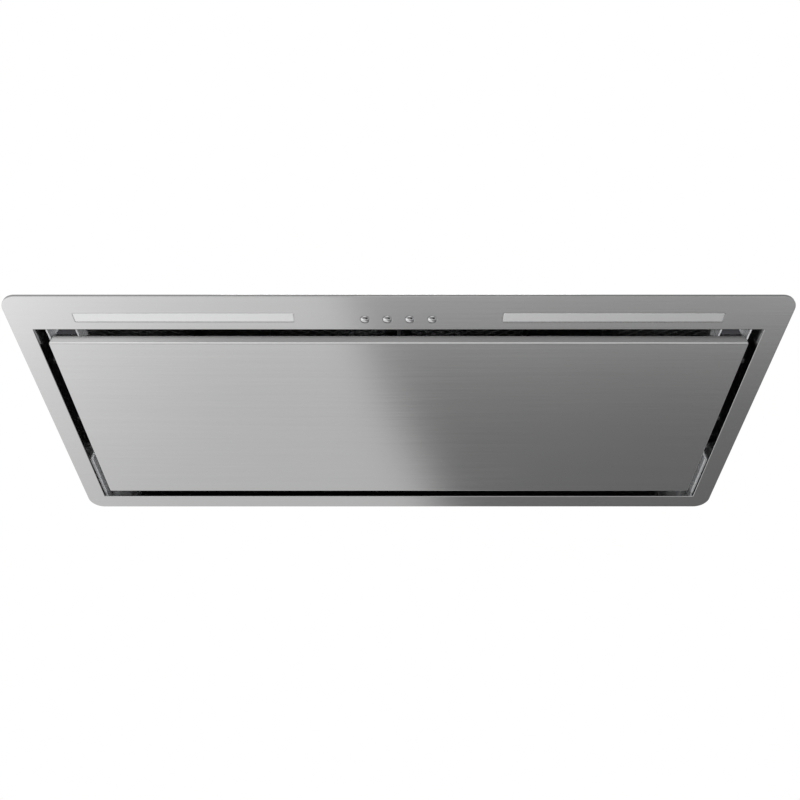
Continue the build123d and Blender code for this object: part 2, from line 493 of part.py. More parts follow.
YZ = Plane(origin=(0, 0, 0), x_dir=(0, 1, 0), z_dir=(1, 0, 0))
outer_face, inner_face = spiral(SCROLL_T), spiral(0.0)
halves = []
LUGS = [(FAN_Y + 84.5 + SCROLL_T + 4.0, FAN_Z), (FAN_Y - A - 98.0 - SCROLL_T - 3.5, 205.0),
        (FAN_Y - A - 98.0 - SCROLL_T - 3.5, 150.0), (FAN_Y + 60.0, FAN_Z + 62.0)]
for name, x0, x1 in (("left", -SCROLL_HALF - SCROLL_T, 0.0), ("right", 0.0, SCROLL_HALF + SCROLL_T)):
    s = -1 if name == "left" else 1
    out = extrude(Plane(origin=(x0, 0, 0), x_dir=(0, 1, 0), z_dir=(1, 0, 0)) * outer_face, x1 - x0)
    ci0, ci1 = (x0 + SCROLL_T, x1 + 1) if s < 0 else (x0 - 1, x1 - SCROLL_T)
    cut = extrude(Plane(origin=(ci0, 0, 0), x_dir=(0, 1, 0), z_dir=(1, 0, 0)) * inner_face, ci1 - ci0)
    half = out - cut
    # open top: the outlet goes through
    half -= bx(min(ci0, ci1), max(ci0, ci1), FAN_Y - A - 98.0, 11.9, 255.0, 270.0)
    # inlet with bell-mouth ring
    w0, w1 = sorted((s * (SCROLL_HALF - 1), s * (SCROLL_HALF + SCROLL_T + 5)))
    r0, r1 = sorted((s * SCROLL_HALF, s * (SCROLL_HALF + SCROLL_T + 3)))
    half += xc(61.0, r0, r1, FAN_Y, FAN_Z)
    half -= xc(55.0, w0, w1, FAN_Y, FAN_Z)
    # outlet flange under the top plate, with screw ears
    fl = bx(min(0, s * 77), max(0, s * 77), -104.5, 54.0, 261.0, MOTOR_TOP)
    fl -= bx(min(0, s * SCROLL_HALF) - (1 if s > 0 else 0), max(0, s * SCROLL_HALF) + (1 if s < 0 else 0), FAN_Y - A - 98.0, 12.0, 258.0, MOTOR_TOP + 1)
    fl -= bx(min(0, s * 58), max(0, s * 58), 17.0, 56.0, 258.0, MOTOR_TOP + 1)
    half += fl
    # joining lugs
    for ly, lz in LUGS:
        l0, l1 = sorted((0.0, s * 8.0))
        half += xc(5.0, l0, l1, ly, lz)
    half -= extrude(Plane(origin=(ci0, 0, 0), x_dir=(0, 1, 0), z_dir=(1, 0, 0)) * inner_face, ci1 - ci0)
    for ly, lz in LUGS:
        l0, l1 = sorted((-1.0 * s, s * 9.0))
        half -= xc(1.8, l0, l1, ly, lz)
    # holes of the motor bracket's feet, right side only
    if s > 0:
        for a in (0, 120, 240):
            half -= xc(2.2, SCROLL_HALF - 1, SCROLL_HALF + 8, FAN_Y + FOOT_R * math.cos(math.radians(a)), FAN_Z + FOOT_R * math.sin(math.radians(a)))
    for x, y in SPIGOT_SCREWS:
        if x * s > 0:
            half -= zc(1.5, x, y, 255.0, MOTOR_TOP + 1)
    save(half, "scroll_housing_" + name)
    halves.append(half)

# ---------------------------------------------------------------- impeller
imp = []
blade_n = 36
blades = Sketch()
one = None
for i in range(blade_n):
    a = math.radians(i * 360.0 / blade_n)
    p0 = (53.5 * math.cos(a), 53.5 * math.sin(a))
    am = a + math.radians(3.2)
    pm = (59.2 * math.cos(am), 59.2 * math.sin(am))
    a1 = a + math.radians(9.0)
    p1 = (64.3 * math.cos(a1), 64.3 * math.sin(a1))
    arc = ThreePointArc(p0, pm, p1)
    imp.append(extrude(Plane(origin=(-FAN_HALF + 1, FAN_Y, FAN_Z), x_dir=(0, 1, 0), z_dir=(1, 0, 0)) * make_face(
        [arc, Line(p1, (p1[0] * 1.009 + 0.0, p1[1] * 1.009)), ThreePointArc((p1[0] * 1.009, p1[1] * 1.009), (pm[0] * 1.018, pm[1] * 1.018), (p0[0] * 1.009, p0[1] * 1.009)), Line((p0[0] * 1.009, p0[1] * 1.009), p0)]), 2 * FAN_HALF - 2))
ring_l = xc(FAN_R, -FAN_HALF, -FAN_HALF + 2.0, FAN_Y, FAN_Z) - xc(53.2, -FAN_HALF - 1, -FAN_HALF + 3, FAN_Y, FAN_Z)
ring_r = xc(FAN_R, FAN_HALF - 2.0, FAN_HALF, FAN_Y, FAN_Z) - xc(53.2, FAN_HALF - 3, FAN_HALF + 1, FAN_Y, FAN_Z)
disc = xc(FAN_R, -1.2, 1.2, FAN_Y, FAN_Z)
hub = xc(12.0, -14.0, 3.0, FAN_Y, FAN_Z)
wheel = total([disc, hub, ring_l, ring_r] + imp)
wheel -= xc(4.0, -20.0, 10.0, FAN_Y, FAN_Z)
save(wheel, "impeller")

shaft = xc(4.0, -17.0, 89.0, FAN_Y, FAN_Z)
shaft = chamfer([e for e in shaft.edges() if e.geom_type == GeomType.CIRCLE], 0.6)
save(shaft, "motor_shaft")

# ------------------------------------------------------------------- motor
motor = xc(43.0, 12.0, 84.0, FAN_Y, FAN_Z)
motor = fillet([e for e in motor.edges() if e.geom_type == GeomType.CIRCLE], 4.0)
motor += xc(34.0, 8.0, 90.0, FAN_Y, FAN_Z)
motor += xc(14.0, 5.0, 92.0, FAN_Y, FAN_Z)
# laminations stand proud between the end shields
motor += xc(44.5, 34.0, 62.0, FAN_Y, FAN_Z)
motor += bx(64.0, 84.0, FAN_Y - 6.0, FAN_Y + 6.0, FAN_Z - 49.0, FAN_Z - 38.0)
motor -= xc(4.05, 0.0, 90.0, FAN_Y, FAN_Z)
# cooling slots in the outer end shield
for k in range(8):
    a = math.radians(22.5 + k * 45)
    motor -= Location((87.0, FAN_Y + 25 * math.cos(a), FAN_Z + 25 * math.sin(a)), (math.degrees(a), 0, 0)) * Box(8, 10, 4)
for a in (60, 180, 300):
    motor -= xc(1.8, 80.0, 95.0, FAN_Y + 28 * math.cos(math.radians(a)), FAN_Z + 28 * math.sin(math.radians(a)))
save(motor, "motor")

br = xc(33.0, 90.0, 92.5, FAN_Y, FAN_Z) - xc(15.0, 88.0, 95.0, FAN_Y, FAN_Z)
feet = []
rubber = []
for a in (0, 120, 240):
    loc = Location((0, FAN_Y, FAN_Z), (a, 0, 0))
    arm = bx(90.0, 92.5, 28.0, 71.5, -8.0, 8.0)
    arm += bx(67.5, 92.5, 69.0, 71.5, -8.0, 8.0)
    arm += bx(67.5, 70.0, 69.0, 84.0, -8.0, 8.0)
    arm -= xc(2.2, 60.0, 72.0, FOOT_R, 0.0)
    br += loc * arm
    g = xc(5.5, 62.5, 67.5, FOOT_R, 0.0) - xc(2.2, 60.0, 70.0, FOOT_R, 0.0)
    rubber.append(loc * g)
for a in (60, 180, 300):
    br -= xc(1.8, 80.0, 95.0, FAN_Y + 28 * math.cos(math.radians(a)), FAN_Z + 28 * math.sin(math.radians(a)))
save(br, "motor_bracket")
save(group(rubber), "motor_mounts")

# ---------------------------------------------------------- electrical box
ebox = bx(BOX_X0, BOX_X1, BOX_Y0, BOX_Y1, CASE_TOP, BOX_TOP - 2)
ebox = fillet(ebox.edges().filter_by(Axis.Z), 3.0)
ebox -= bx(BOX_X0 + 2, BOX_X1 - 2, BOX_Y0 + 2, BOX_Y1 - 2, CASE_TOP + 2, BOX_TOP + 1)
for x, y in BOX_SCREWS:
    ebox -= zc(1.7, x, y, CASE_TOP - 1, CASE_TOP + 3)
COVER_SCREWS = [(x, y) for x in (BOX_X0 + 6, BOX_X1 - 6) for y in (BOX_Y0 + 18, BOX_Y1 - 18)]
for x, y in COVER_SCREWS:
    ebox += zc(3.5, x, y, CASE_TOP + 1, BOX_TOP - 2)
    x0, x1 = sorted((x, BOX_X0 + 1 if x < 245 else BOX_X1 - 1))
    ebox += bx(x0, x1, y - 2, y + 2, CASE_TOP + 1, BOX_TOP - 2)
    ebox -= zc(1.3, x, y, CASE_TOP + 20, BOX_TOP)
GLAND_X, GLAND_Z = 262.0, 120.0
ebox -= yc(8.0, GLAND_X, BOX_Y1 - 4, BOX_Y1 + 1, GLAND_Z)
ebox -= xc(6.0, BOX_X0 - 1, BOX_X0 + 4, LEAD_Y, LEAD_Z)
ebox -= zc(7.0, 215.0, -30.0, CASE_TOP - 1, CASE_TOP + 4)
save(ebox, "electrical_box")

cover = rounded(BOX_X1 - BOX_X0 + 2, BOX_Y1 - BOX_Y0 + 2, 4.0, BOX_TOP - 5, BOX_TOP, (BOX_X0 + BOX_X1) / 2, (BOX_Y0 + BOX_Y1) / 2)
cover = fillet([e for e in cover.edges() if abs(e.center().Z - BOX_TOP) < 0.01], 0.8)
cover -= rounded(BOX_X1 - BOX_X0 + 0.2, BOX_Y1 - BOX_Y0 + 0.2, 3.1, BOX_TOP - 6, BOX_TOP - 2, (BOX_X0 + BOX_X1) / 2, (BOX_Y0 + BOX_Y1) / 2)
for x, y in COVER_SCREWS:
    cover -= zc(1.7, x, y, BOX_TOP - 3, BOX_TOP + 1)
save(cover, "electrical_box_cover")

term = bx(240.0, 284.0, -8.0, 10.0, CASE_TOP + 2, CASE_TOP + 20)
for i in range(4):
    x = 245.5 + i * 11
    term -= bx(x - 3.5, x + 3.5, -9.0, -1.0, CASE_TOP + 5, CASE_TOP + 12)
    term -= bx(x - 3.5, x + 3.5, 3.0, 11.0, CASE_TOP + 5, CASE_TOP + 12)
    term -= zc(2.2, x, -4.0, CASE_TOP + 14, CASE_TOP + 21)
    term -= zc(2.2, x, 6.0, CASE_TOP + 14, CASE_TOP + 21)
save(term, "terminal_block")

CAP_Y, CAP_Z = -31.5, CASE_TOP + 18.0
cap = xc(14.0, 240.0, 288.0, CAP_Y, CAP_Z)
cap = fillet([e for e in cap.edges() if e.geom_type == GeomType.CIRCLE], 1.5)
cap += bx(233.0, 241.0, CAP_Y - 4.0, CAP_Y - 2.5, CAP_Z - 3, CAP_Z + 3) + bx(233.0, 241.0, CAP_Y + 2.5, CAP_Y + 4.0, CAP_Z - 3, CAP_Z + 3)
save(cap, "run_capacitor")
clip = xc(15.0, 258.0, 270.0, CAP_Y, CAP_Z)
clip -= bx(250.0, 280.0, CAP_Y - 6.0, CAP_Y + 6.0, CAP_Z + 8, CAP_Z + 20)
clip += bx(258.0, 270.0, CAP_Y - 10.0, CAP_Y + 10.0, CASE_TOP + 2, CASE_TOP + 3.2)
clip -= xc(14.0, 257.0, 271.0, CAP_Y, CAP_Z)
save(clip, "capacitor_clip")

gland = Location((GLAND_X, BOX_Y1, GLAND_Z), (-90, 0, 0)) * extrude(RegularPolygon(11.0, 6, major_radius=False), 5.0)
gland += yc(9.0, GLAND_X, BOX_Y1 + 5, BOX_Y1 + 9, GLAND_Z)
gland += Location((GLAND_X, BOX_Y1 + 9, GLAND_Z), (-90, 0, 0)) * extrude(RegularPolygon(10.5, 6, major_radius=False), 8.0)
gland += Location((GLAND_X, BOX_Y1 + 17, GLAND_Z), (-90, 0, 0)) * Cone(9.5, 6.5, 6.0, align=ALIGN)
gland += yc(8.0, GLAND_X, BOX_Y1 - 7, BOX_Y1 + 1, GLAND_Z)
gland += Location((GLAND_X, BOX_Y1 - 6, GLAND_Z), (-90, 0, 0)) * extrude(RegularPolygon(10.5, 6, major_radius=False), 4.0)
gland -= yc(4.0, GLAND_X, BOX_Y1 - 10, BOX_Y1 + 30, GLAND_Z)
save(gland, "cable_gland")

# ------------------------------------------------------ spigot and dampers
sp = rounded(172.0, 172.0, 30.0, MOTOR_TOP + SHEET, MOTOR_TOP + SHEET + 3.0, 0, SPIGOT_Y)
sp += zc(SPIGOT_R, 0, SPIGOT_Y, MOTOR_TOP + SHEET, SPIGOT_TOP)
sp -= zc(SPIGOT_R - SPIGOT_T, 0, SPIGOT_Y, MOTOR_TOP + SHEET + 3.0, SPIGOT_TOP + 1)
sp -= zc(68.0, 0, SPIGOT_Y, MOTOR_TOP, SPIGOT_TOP + 1)
sp = chamfer([e for e in sp.edges() if abs(e.center().Z - SPIGOT_TOP) < 0.01 and e.length > 2 * math.pi * (SPIGOT_R - 0.5)], 0.9)
# axle bosses on the collar's inner wall
for s in (-1, 1):
    x0, x1 = sorted((s * 70.4, s * 73.5))
    boss = xc(4.0, x0, x1, SPIGOT_Y, FLAP_Z) + bx(x0, x1, SPIGOT_Y - 4, SPIGOT_Y + 4, MOTOR_TOP + 3.0, FLAP_Z)
    sp += boss
sp -= xc(1.5, -73.6, 73.6, SPIGOT_Y, FLAP_Z)
for x, y in SPIGOT_SCREWS:
    sp -= zc(1.5, x, y, MOTOR_TOP - 1, MOTOR_TOP + 5)
# ledge on which the flaps rest
ledge = zc(SPIGOT_R - SPIGOT_T + 0.2, 0, SPIGOT_Y, 271.6, 272.8) - zc(69.5, 0, SPIGOT_Y, 270.0, 274.0)
ledge -= bx(-80, 80, SPIGOT_Y - 6, SPIGOT_Y + 6, 270.0, 274.0)
sp += ledge
save(sp, "outlet_spigot")

axle = xc(1.5, -73.5, 73.5, SPIGOT_Y, FLAP_Z)
save(axle, "damper_axle")

KN = {"front": [(-62.0, -46.0), (-14.0, 2.0), (34.0, 50.0)], "rear": [(-45.0, -29.0), (3.0, 19.0), (51.0, 66.0)]}
for name, s in (("front", -1), ("rear", 1)):
    half_disc = zc(71.2, 0, SPIGOT_Y, FLAP_Z - 2.6, FLAP_Z - 1.2)
    y0, y1 = sorted((SPIGOT_Y + s * 3.4, SPIGOT_Y + s * 90.0))
    half_disc &= bx(-66.8, 66.8, y0, y1, FLAP_Z - 5, FLAP_Z + 5)
    flap = half_disc
    # stiffening ribs on the upper side
    for x in (-30.0, 30.0):
        r0, r1 = sorted((SPIGOT_Y + s * 8.0, SPIGOT_Y + s * 55.0))
        flap += bx(x - 0.8, x + 0.8, r0, r1, FLAP_Z - 1.3, FLAP_Z + 1.0)
    for a0, a1 in KN[name]:
        flap += xc(2.7, a0, a1, SPIGOT_Y, FLAP_Z)
        b0, b1 = sorted((SPIGOT_Y + s * 0.5, SPIGOT_Y + s * 4.0))
        flap += bx(a0, a1, b0, b1, FLAP_Z - 2.6, FLAP_Z - 1.2)
        flap -= xc(1.56, a0 - 0.3, a1 + 0.3, SPIGOT_Y, FLAP_Z)
    save(flap, "damper_flap_" + name)

# --------------------------------------------------------------- fasteners
nuts = []
for x, y, r, top_z in STUDS:
    if abs(x) == 50.0:
        z = Z_BACK + 2.5
    elif r < 1.8:
        z = Z_BACK + 2.0
    else:
        z = Z_BACK + SHEET
    n = hexa(5.5 if r < 1.8 else 7.0, x, y, z, z + (2.4 if r < 1.8 else 3.2)) - zc(r, x, y, z - 1, z + 5)
    nuts.append(n)

fs = []
for s in (-1, 1):
    for y in SKIRT_SCREWS_SIDE:
        x_in = OPEN_X - (1.5 if y > 70 else 0.0)
        if s > 0:
            sc = xc(3.6, x_in - 1.6, x_in, y, SKIRT_Z) + xc(2.0, x_in, CASE_X + 4.0, y, SKIRT_Z)
            sc -= bx(x_in - 1.7, x_in - 0.8, y - 2.0, y + 2.0, SKIRT_Z - 0.4, SKIRT_Z + 0.4)
            sc -= bx(x_in - 1.7, x_in - 0.8, y - 0.4, y + 0.4, SKIRT_Z - 2.0, SKIRT_Z + 2.0)
        else:
            sc = xc(3.6, -x_in, -x_in + 1.6, y, SKIRT_Z) + xc(2.0, -CASE_X - 4.0, -x_in, y, SKIRT_Z)
            sc -= bx(-x_in + 0.8, -x_in + 1.7, y - 2.0, y + 2.0, SKIRT_Z - 0.4, SKIRT_Z + 0.4)
            sc -= bx(-x_in + 0.8, -x_in + 1.7, y - 0.4, y + 0.4, SKIRT_Z - 2.0, SKIRT_Z + 2.0)
        fs.append(sc)
    for x in (303.0, 318.0):
        yb = OPEN_Y0 + 1.5
        fs.append(yc(2.8, s * x, yb, yb + 1.6, 14.0) + yc(1.6, s * x, PART_Y - 5.0, yb, 14.0))
for x in SKIRT_SCREWS_REAR:
    fs.append(yc(3.6, x, OPEN_Y1 - 1.6, OPEN_Y1, SKIRT_Z) + yc(2.0, x, OPEN_Y1, CASE_Y1 + 4.0, SKIRT_Z))
save(group(nuts + fs), "frame_fasteners")

cs = []
for x, y in MOTOR_FLANGE_SCREWS:
    cs.append(pan_screw_z(x, y, CASE_TOP + SHEET, length=7.0))
for x, y in TOP_SCREWS:
    cs.append(pan_screw_z(x, y, MOTOR_TOP + SHEET, length=7.0))
save(group(cs), "casing_screws")

ss = []
for x, y in SPIGOT_SCREWS:
    ss.append(pan_screw_z(x, y, MOTOR_TOP + SHEET + 3.0, r=1.5, head=3.0, length=7.0))
for x, y in COVER_SCREWS:
    ss.append(zc(3.0, x, y, BOX_TOP, BOX_TOP + 1.8) + zc(1.3, x, y, BOX_TOP - 12.0, BOX_TOP))
for x, y in BOX_SCREWS:
    ss.append(pan_screw_z(x, y, CASE_TOP + 2.0, r=1.7, head=3.2, length=6.0))
for s in (-1, 1):
    ss.append(pan_screw_z(s * 40.0, BUTTON_Y, 21.6, r=1.0, head=2.0, length=7.0))
save(group(ss), "small_screws")

fan_s = []
for ly, lz in LUGS:
    fan_s.append(xc(1.8, -10.0, 8.0, ly, lz) + xc(3.4, 8.0, 10.2, ly, lz))
for a in (0, 120, 240):
    y, z = FAN_Y + FOOT_R * math.cos(math.radians(a)), FAN_Z + FOOT_R * math.sin(math.radians(a))
    fan_s.append(xc(2.2, 61.0, 70.0, y, z) + xc(4.2, 70.0, 72.4, y, z))
for a in (60, 180, 300):
    y, z = FAN_Y + 28 * math.cos(math.radians(a)), FAN_Z + 28 * math.sin(math.radians(a))
    fan_s.append(xc(1.8, 82.0, 92.5, y, z) + xc(3.2, 92.5, 94.6, y, z))
save(group(fan_s), "fan_screws")


# ---------------------------------------------------------- internal leads
def lead(points, dia):
    """Round lead along straight runs joined by tangent arcs."""
    vs = [Vector(*p) for p in points]
    radii = []
    for i in range(1, len(vs) - 1):
        a, b = vs[i] - vs[i - 1], vs[i + 1] - vs[i]
        turn = math.radians(a.get_angle(b))
        radii.append(0.45 * min(a.length, b.length) / math.tan(turn / 2))
    path = FilletPolyline(*vs, radius=radii)
    start = Plane(origin=vs[0], z_dir=(vs[1] - vs[0]).normalized())
    tube = sweep(start * Circle(dia / 2), path)
    length = sum(e.length for e in path.edges())
    print("lead", [round(r, 1) for r in radii], "length", round(length, 1), "volume ratio",
          round(tube.volume / (length * math.pi * dia ** 2 / 4), 4))
    return tube


motor_lead = lead([(84.0, FAN_Y, FAN_Z - 45.0), (98.0, FAN_Y, FAN_Z - 45.0), (118.0, FAN_Y + 3.0, FAN_Z - 41.0),
                   (140.0, FAN_Y + 12.0, FAN_Z - 31.0), (158.0, LEAD_Y, LEAD_Z), (202.0, LEAD_Y, LEAD_Z),
                   (215.0, LEAD_Y - 5, LEAD_Z - 4), (227.0, 4.0, LEAD_Z - 10.5), (240.0, 4.0, LEAD_Z - 10.5)], 5.0)
save(motor_lead, "motor_lead")
small_leads = []
small_leads.append(lead([(95.2, LED_Y, 7.5), (86.0, LED_Y, 7.5), (76.0, LED_Y, 14.0), (78.0, LED_Y, 26.0), (92.0, LED_Y, 36.0), (112.0, LED_Y + 1, 42.0),
                         (132.0, LED_Y + 1, 46.0), (150.0, LED_Y + 1, 46.0)], 2.6))
small_leads.append(lead([(-95.2, LED_Y, 7.5), (-86.0, LED_Y, 7.5), (-76.0, LED_Y, 15.0), (-66.0, LED_Y, 30.0), (-46.0, LED_Y, 44.0), (-12.0, LED_Y + 1, 51.0),
                         (28.0, LED_Y + 1, 50.0), (70.0, LED_Y + 1, 54.0), (112.0, LED_Y + 1, 55.0), (150.0, LED_Y + 1, 55.0)], 2.6))
small_leads.append(lead([(33.0, -118.5, 21.6), (33.0, -118.5, 32.0), (41.0, -118.0, 41.0), (58.0, -117.5, 48.0), (84.0, -118.0, 62.0), (112.0, -118.5, 70.0),
                         (144.0, -120.0, 72.0), (174.0, -122.0, 77.0), (196.0, -124.0, 80.0), (213.0, -122.5, 80.0), (215.0, -107.0, 80.0), (215.0, -90.0, 84.0), (214.5, -70.0, 85.5), (214.5, -50.0, 83.5),
                         (215.0, -33.0, 85.5), (215.0, -30.0, 100.0), (217.0, -25.0, 112.0), (226.0, -6.0, 112.5), (240.0, -6.0, 112.5)], 4.0))
save(group(small_leads), "low_voltage_leads")
gr = []
g = xc(8.0, MOTOR_X - 2.5, MOTOR_X - SHEET, LEAD_Y, LEAD_Z) + xc(8.0, MOTOR_X, MOTOR_X + 1.5, LEAD_Y, LEAD_Z) + xc(6.0, MOTOR_X - 2.5, MOTOR_X + 1.5, LEAD_Y, LEAD_Z)
g -= xc(2.5, MOTOR_X - 4, MOTOR_X + 4, LEAD_Y, LEAD_Z)
gr.append(g)
g = xc(8.0, BOX_X0 - 1.5, BOX_X0, LEAD_Y, LEAD_Z) + xc(8.0, BOX_X0 + 2, BOX_X0 + 3.5, LEAD_Y, LEAD_Z) + xc(6.0, BOX_X0 - 1.5, BOX_X0 + 3.5, LEAD_Y, LEAD_Z)
g -= xc(2.7, BOX_X0 - 4, BOX_X0 + 6, LEAD_Y, LEAD_Z)
gr.append(g)
g = zc(9.0, 215.0, -30.0, CASE_TOP - SHEET - 1.5, CASE_TOP - SHEET) + zc(7.0, 215.0, -30.0, CASE_TOP - SHEET - 1.5, CASE_TOP + 3.5)
g += zc(9.0, 215.0, -30.0, CASE_TOP + 2.0, CASE_TOP + 3.5)
g -= zc(3.6, 215.0, -30.0, CASE_TOP - 5, CASE_TOP + 8)
gr.append(g)
g = yc(6.5, 215.0, PART_Y - SHEET - 1.5, PART_Y - SHEET, 80.0) + yc(6.5, 215.0, PART_Y, PART_Y + 1.5, 80.0) + yc(5.0, 215.0, PART_Y - SHEET - 1.5, PART_Y + 1.5, 80.0)
g -= yc(3.6, 215.0, PART_Y - 5, PART_Y + 4, 80.2)
gr.append(g)
save(group(gr), "lead_grommets")
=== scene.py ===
import math

import bmesh
import bpy
import numpy as np
from mathutils import Matrix, Vector

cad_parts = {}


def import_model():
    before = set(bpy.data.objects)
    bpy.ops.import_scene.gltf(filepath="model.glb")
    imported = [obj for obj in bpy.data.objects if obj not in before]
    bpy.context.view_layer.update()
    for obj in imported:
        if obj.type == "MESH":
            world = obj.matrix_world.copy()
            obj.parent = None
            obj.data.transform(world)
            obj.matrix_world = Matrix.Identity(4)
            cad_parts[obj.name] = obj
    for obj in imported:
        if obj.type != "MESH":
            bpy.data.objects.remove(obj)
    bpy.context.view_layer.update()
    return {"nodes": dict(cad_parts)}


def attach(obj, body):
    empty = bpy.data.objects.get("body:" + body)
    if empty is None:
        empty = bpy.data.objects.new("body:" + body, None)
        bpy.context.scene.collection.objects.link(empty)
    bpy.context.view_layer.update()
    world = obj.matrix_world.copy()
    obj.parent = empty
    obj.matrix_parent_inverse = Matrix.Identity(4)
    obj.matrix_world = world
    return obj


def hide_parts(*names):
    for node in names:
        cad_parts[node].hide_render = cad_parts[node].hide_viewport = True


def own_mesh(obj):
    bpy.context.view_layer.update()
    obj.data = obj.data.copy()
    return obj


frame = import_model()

SC = bpy.context.scene
MM = 0.001

# ------------------------------------------------------------------ node kit


class Graph:
    """Short way to write shader node graphs."""

    def __init__(self, tree):
        self.t = tree
        self.n = tree.nodes
        self.l = tree.links

    def node(self, kind, **props):
        made = self.n.new(kind)
        for k, v in props.items():
            setattr(made, k, v)
        return made

    def put(self, value, socket):
        if isinstance(value, bpy.types.NodeSocket):
            self.l.new(value, socket)
        elif value is not None:
            if isinstance(value, (tuple, list)) and len(value) == 3 and socket.type == "RGBA":
                value = (*value, 1.0)
            socket.default_value = value

    def math(self, op, a, b=None, c=None, clamp=False):
        m = self.node("ShaderNodeMath", operation=op, use_clamp=clamp)
        for i, v in enumerate((a, b, c)):
            self.put(v, m.inputs[i])
        return m.outputs[0]

    def add(self, a, b):
        return self.math("ADD", a, b)

    def sub(self, a, b):
        return self.math("SUBTRACT", a, b)

    def mul(self, a, b):
        return self.math("MULTIPLY", a, b)

    def mad(self, a, b, c):
        return self.math("MULTIPLY_ADD", a, b, c)

    def step(self, x, e0, e1, v0=0.0, v1=1.0):
        m = self.node("ShaderNodeMapRange", interpolation_type="SMOOTHSTEP", clamp=True)
        for i, v in enumerate((x, e0, e1, v0, v1)):
            self.put(v, m.inputs[i])
        return m.outputs[0]

    def lin(self, x, e0, e1, v0=0.0, v1=1.0):
        m = self.node("ShaderNodeMapRange", interpolation_type="LINEAR", clamp=True)
        for i, v in enumerate((x, e0, e1, v0, v1)):
            self.put(v, m.inputs[i])
        return m.outputs[0]

    def mix(self, f, a, b):
        m = self.node("ShaderNodeMix", data_type="FLOAT", clamp_factor=True)
        self.put(f, m.inputs[0])
        self.put(a, m.inputs[2])
        self.put(b, m.inputs[3])
        return m.outputs[0]

    def mixc(self, f, a, b, blend="MIX"):
        m = self.node("ShaderNodeMix", data_type="RGBA", blend_type=blend, clamp_factor=True)
        self.put(f, m.inputs[0])
        self.put(a, m.inputs[6])
        self.put(b, m.inputs[7])
        return m.outputs[2]

    def vmul(self, v, k):
        m = self.node("ShaderNodeVectorMath", operation="MULTIPLY")
        self.put(v, m.inputs[0])
        self.put(k, m.inputs[1])
        return m.outputs[0]

    def vadd(self, v, k):
        m = self.node("ShaderNodeVectorMath", operation="ADD")
        self.put(v, m.inputs[0])
        self.put(k, m.inputs[1])
        return m.outputs[0]

    def dot(self, a, b):
        m = self.node("ShaderNodeVectorMath", operation="DOT_PRODUCT")
        self.put(a, m.inputs[0])
        self.put(b, m.inputs[1])
        return m.outputs["Value"]

    def cross(self, a, b):
        m = self.node("ShaderNodeVectorMath", operation="CROSS_PRODUCT")
        self.put(a, m.inputs[0])
        self.put(b, m.inputs[1])
        return m.outputs[0]

    def xyz(self, v):
        m = self.node("ShaderNodeSeparateXYZ")
        self.put(v, m.inputs[0])
        return m.outputs[0], m.outputs[1], m.outputs[2]

    def obj(self):
        return self.node("ShaderNodeTexCoord").outputs["Object"]

    def noise(self, v, scale=1.0, detail=2.0, rough=0.5, distortion=0.0):
        m = self.node("ShaderNodeTexNoise", noise_dimensions="3D")
        self.put(v, m.inputs["Vector"])
        m.inputs["Scale"].default_value = scale
        m.inputs["Detail"].default_value = detail
        m.inputs["Roughness"].default_value = rough
        m.inputs["Distortion"].default_value = distortion
        return m.outputs["Fac"]

    def voronoi(self, v, scale=1.0, feature="F1", out="Distance", rand=1.0):
        m = self.node("ShaderNodeTexVoronoi", voronoi_dimensions="3D", feature=feature)
        self.put(v, m.inputs["Vector"])
        m.inputs["Scale"].default_value = scale
        m.inputs["Randomness"].default_value = rand
        return m.outputs[out]

    def ramp(self, x, stops):
        """Piecewise-linear value of x over [0, 1]."""
        m = self.node("ShaderNodeValToRGB")
        r = m.color_ramp
        r.interpolation = "LINEAR"
        while len(r.elements) > 1:
            r.elements.remove(r.elements[-1])
        r.elements[0].position = stops[0][0]
        r.elements[0].color = (stops[0][1],) * 3 + (1.0,)
        for p, v in stops[1:]:
            e = r.elements.new(p)
            e.color = (v, v, v, 1.0)
        self.put(x, m.inputs[0])
        m2 = self.node("ShaderNodeSeparateColor")
        self.l.new(m.outputs[0], m2.inputs[0])
        return m2.outputs[0]

    def bump(self, height, distance, normal=None, strength=1.0):
        m = self.node("ShaderNodeBump")
        m.inputs["Strength"].default_value = strength
        m.inputs["Distance"].default_value = distance
        self.put(height, m.inputs["Height"])
        if normal is not None:
            self.put(normal, m.inputs["Normal"])
        return m.outputs[0]

    def rounded(self, radius, samples=4):
        m = self.node("ShaderNodeBevel", samples=samples)
        m.inputs["Radius"].default_value = radius
        return m.outputs[0]

    def normal(self):
        return self.node("ShaderNodeNewGeometry").outputs["Normal"]

    def edge_mask(self, round_normal, lo=0.004, hi=0.16):
        """1 along convex and concave edges, 0 on flats."""
        d = self.dot(round_normal, self.normal())
        return self.step(self.sub(1.0, d), lo, hi)


def material(name, metallic=0.0, rough=0.5, base=(0.5, 0.5, 0.5)):
    m = bpy.data.materials.new(name)
    m.use_nodes = True
    nt = m.node_tree
    nt.nodes.clear()
    g = Graph(nt)
    out = g.node("ShaderNodeOutputMaterial")
    p = g.node("ShaderNodeBsdfPrincipled")
    g.l.new(p.outputs[0], out.inputs[0])
    g.put(base, p.inputs["Base Color"])
    g.put(metallic, p.inputs["Metallic"])
    g.put(rough, p.inputs["Roughness"])
    return m, g, p


def grey(v, tint=(1.0, 1.0, 1.0)):
    return (v * tint[0], v * tint[1], v * tint[2])


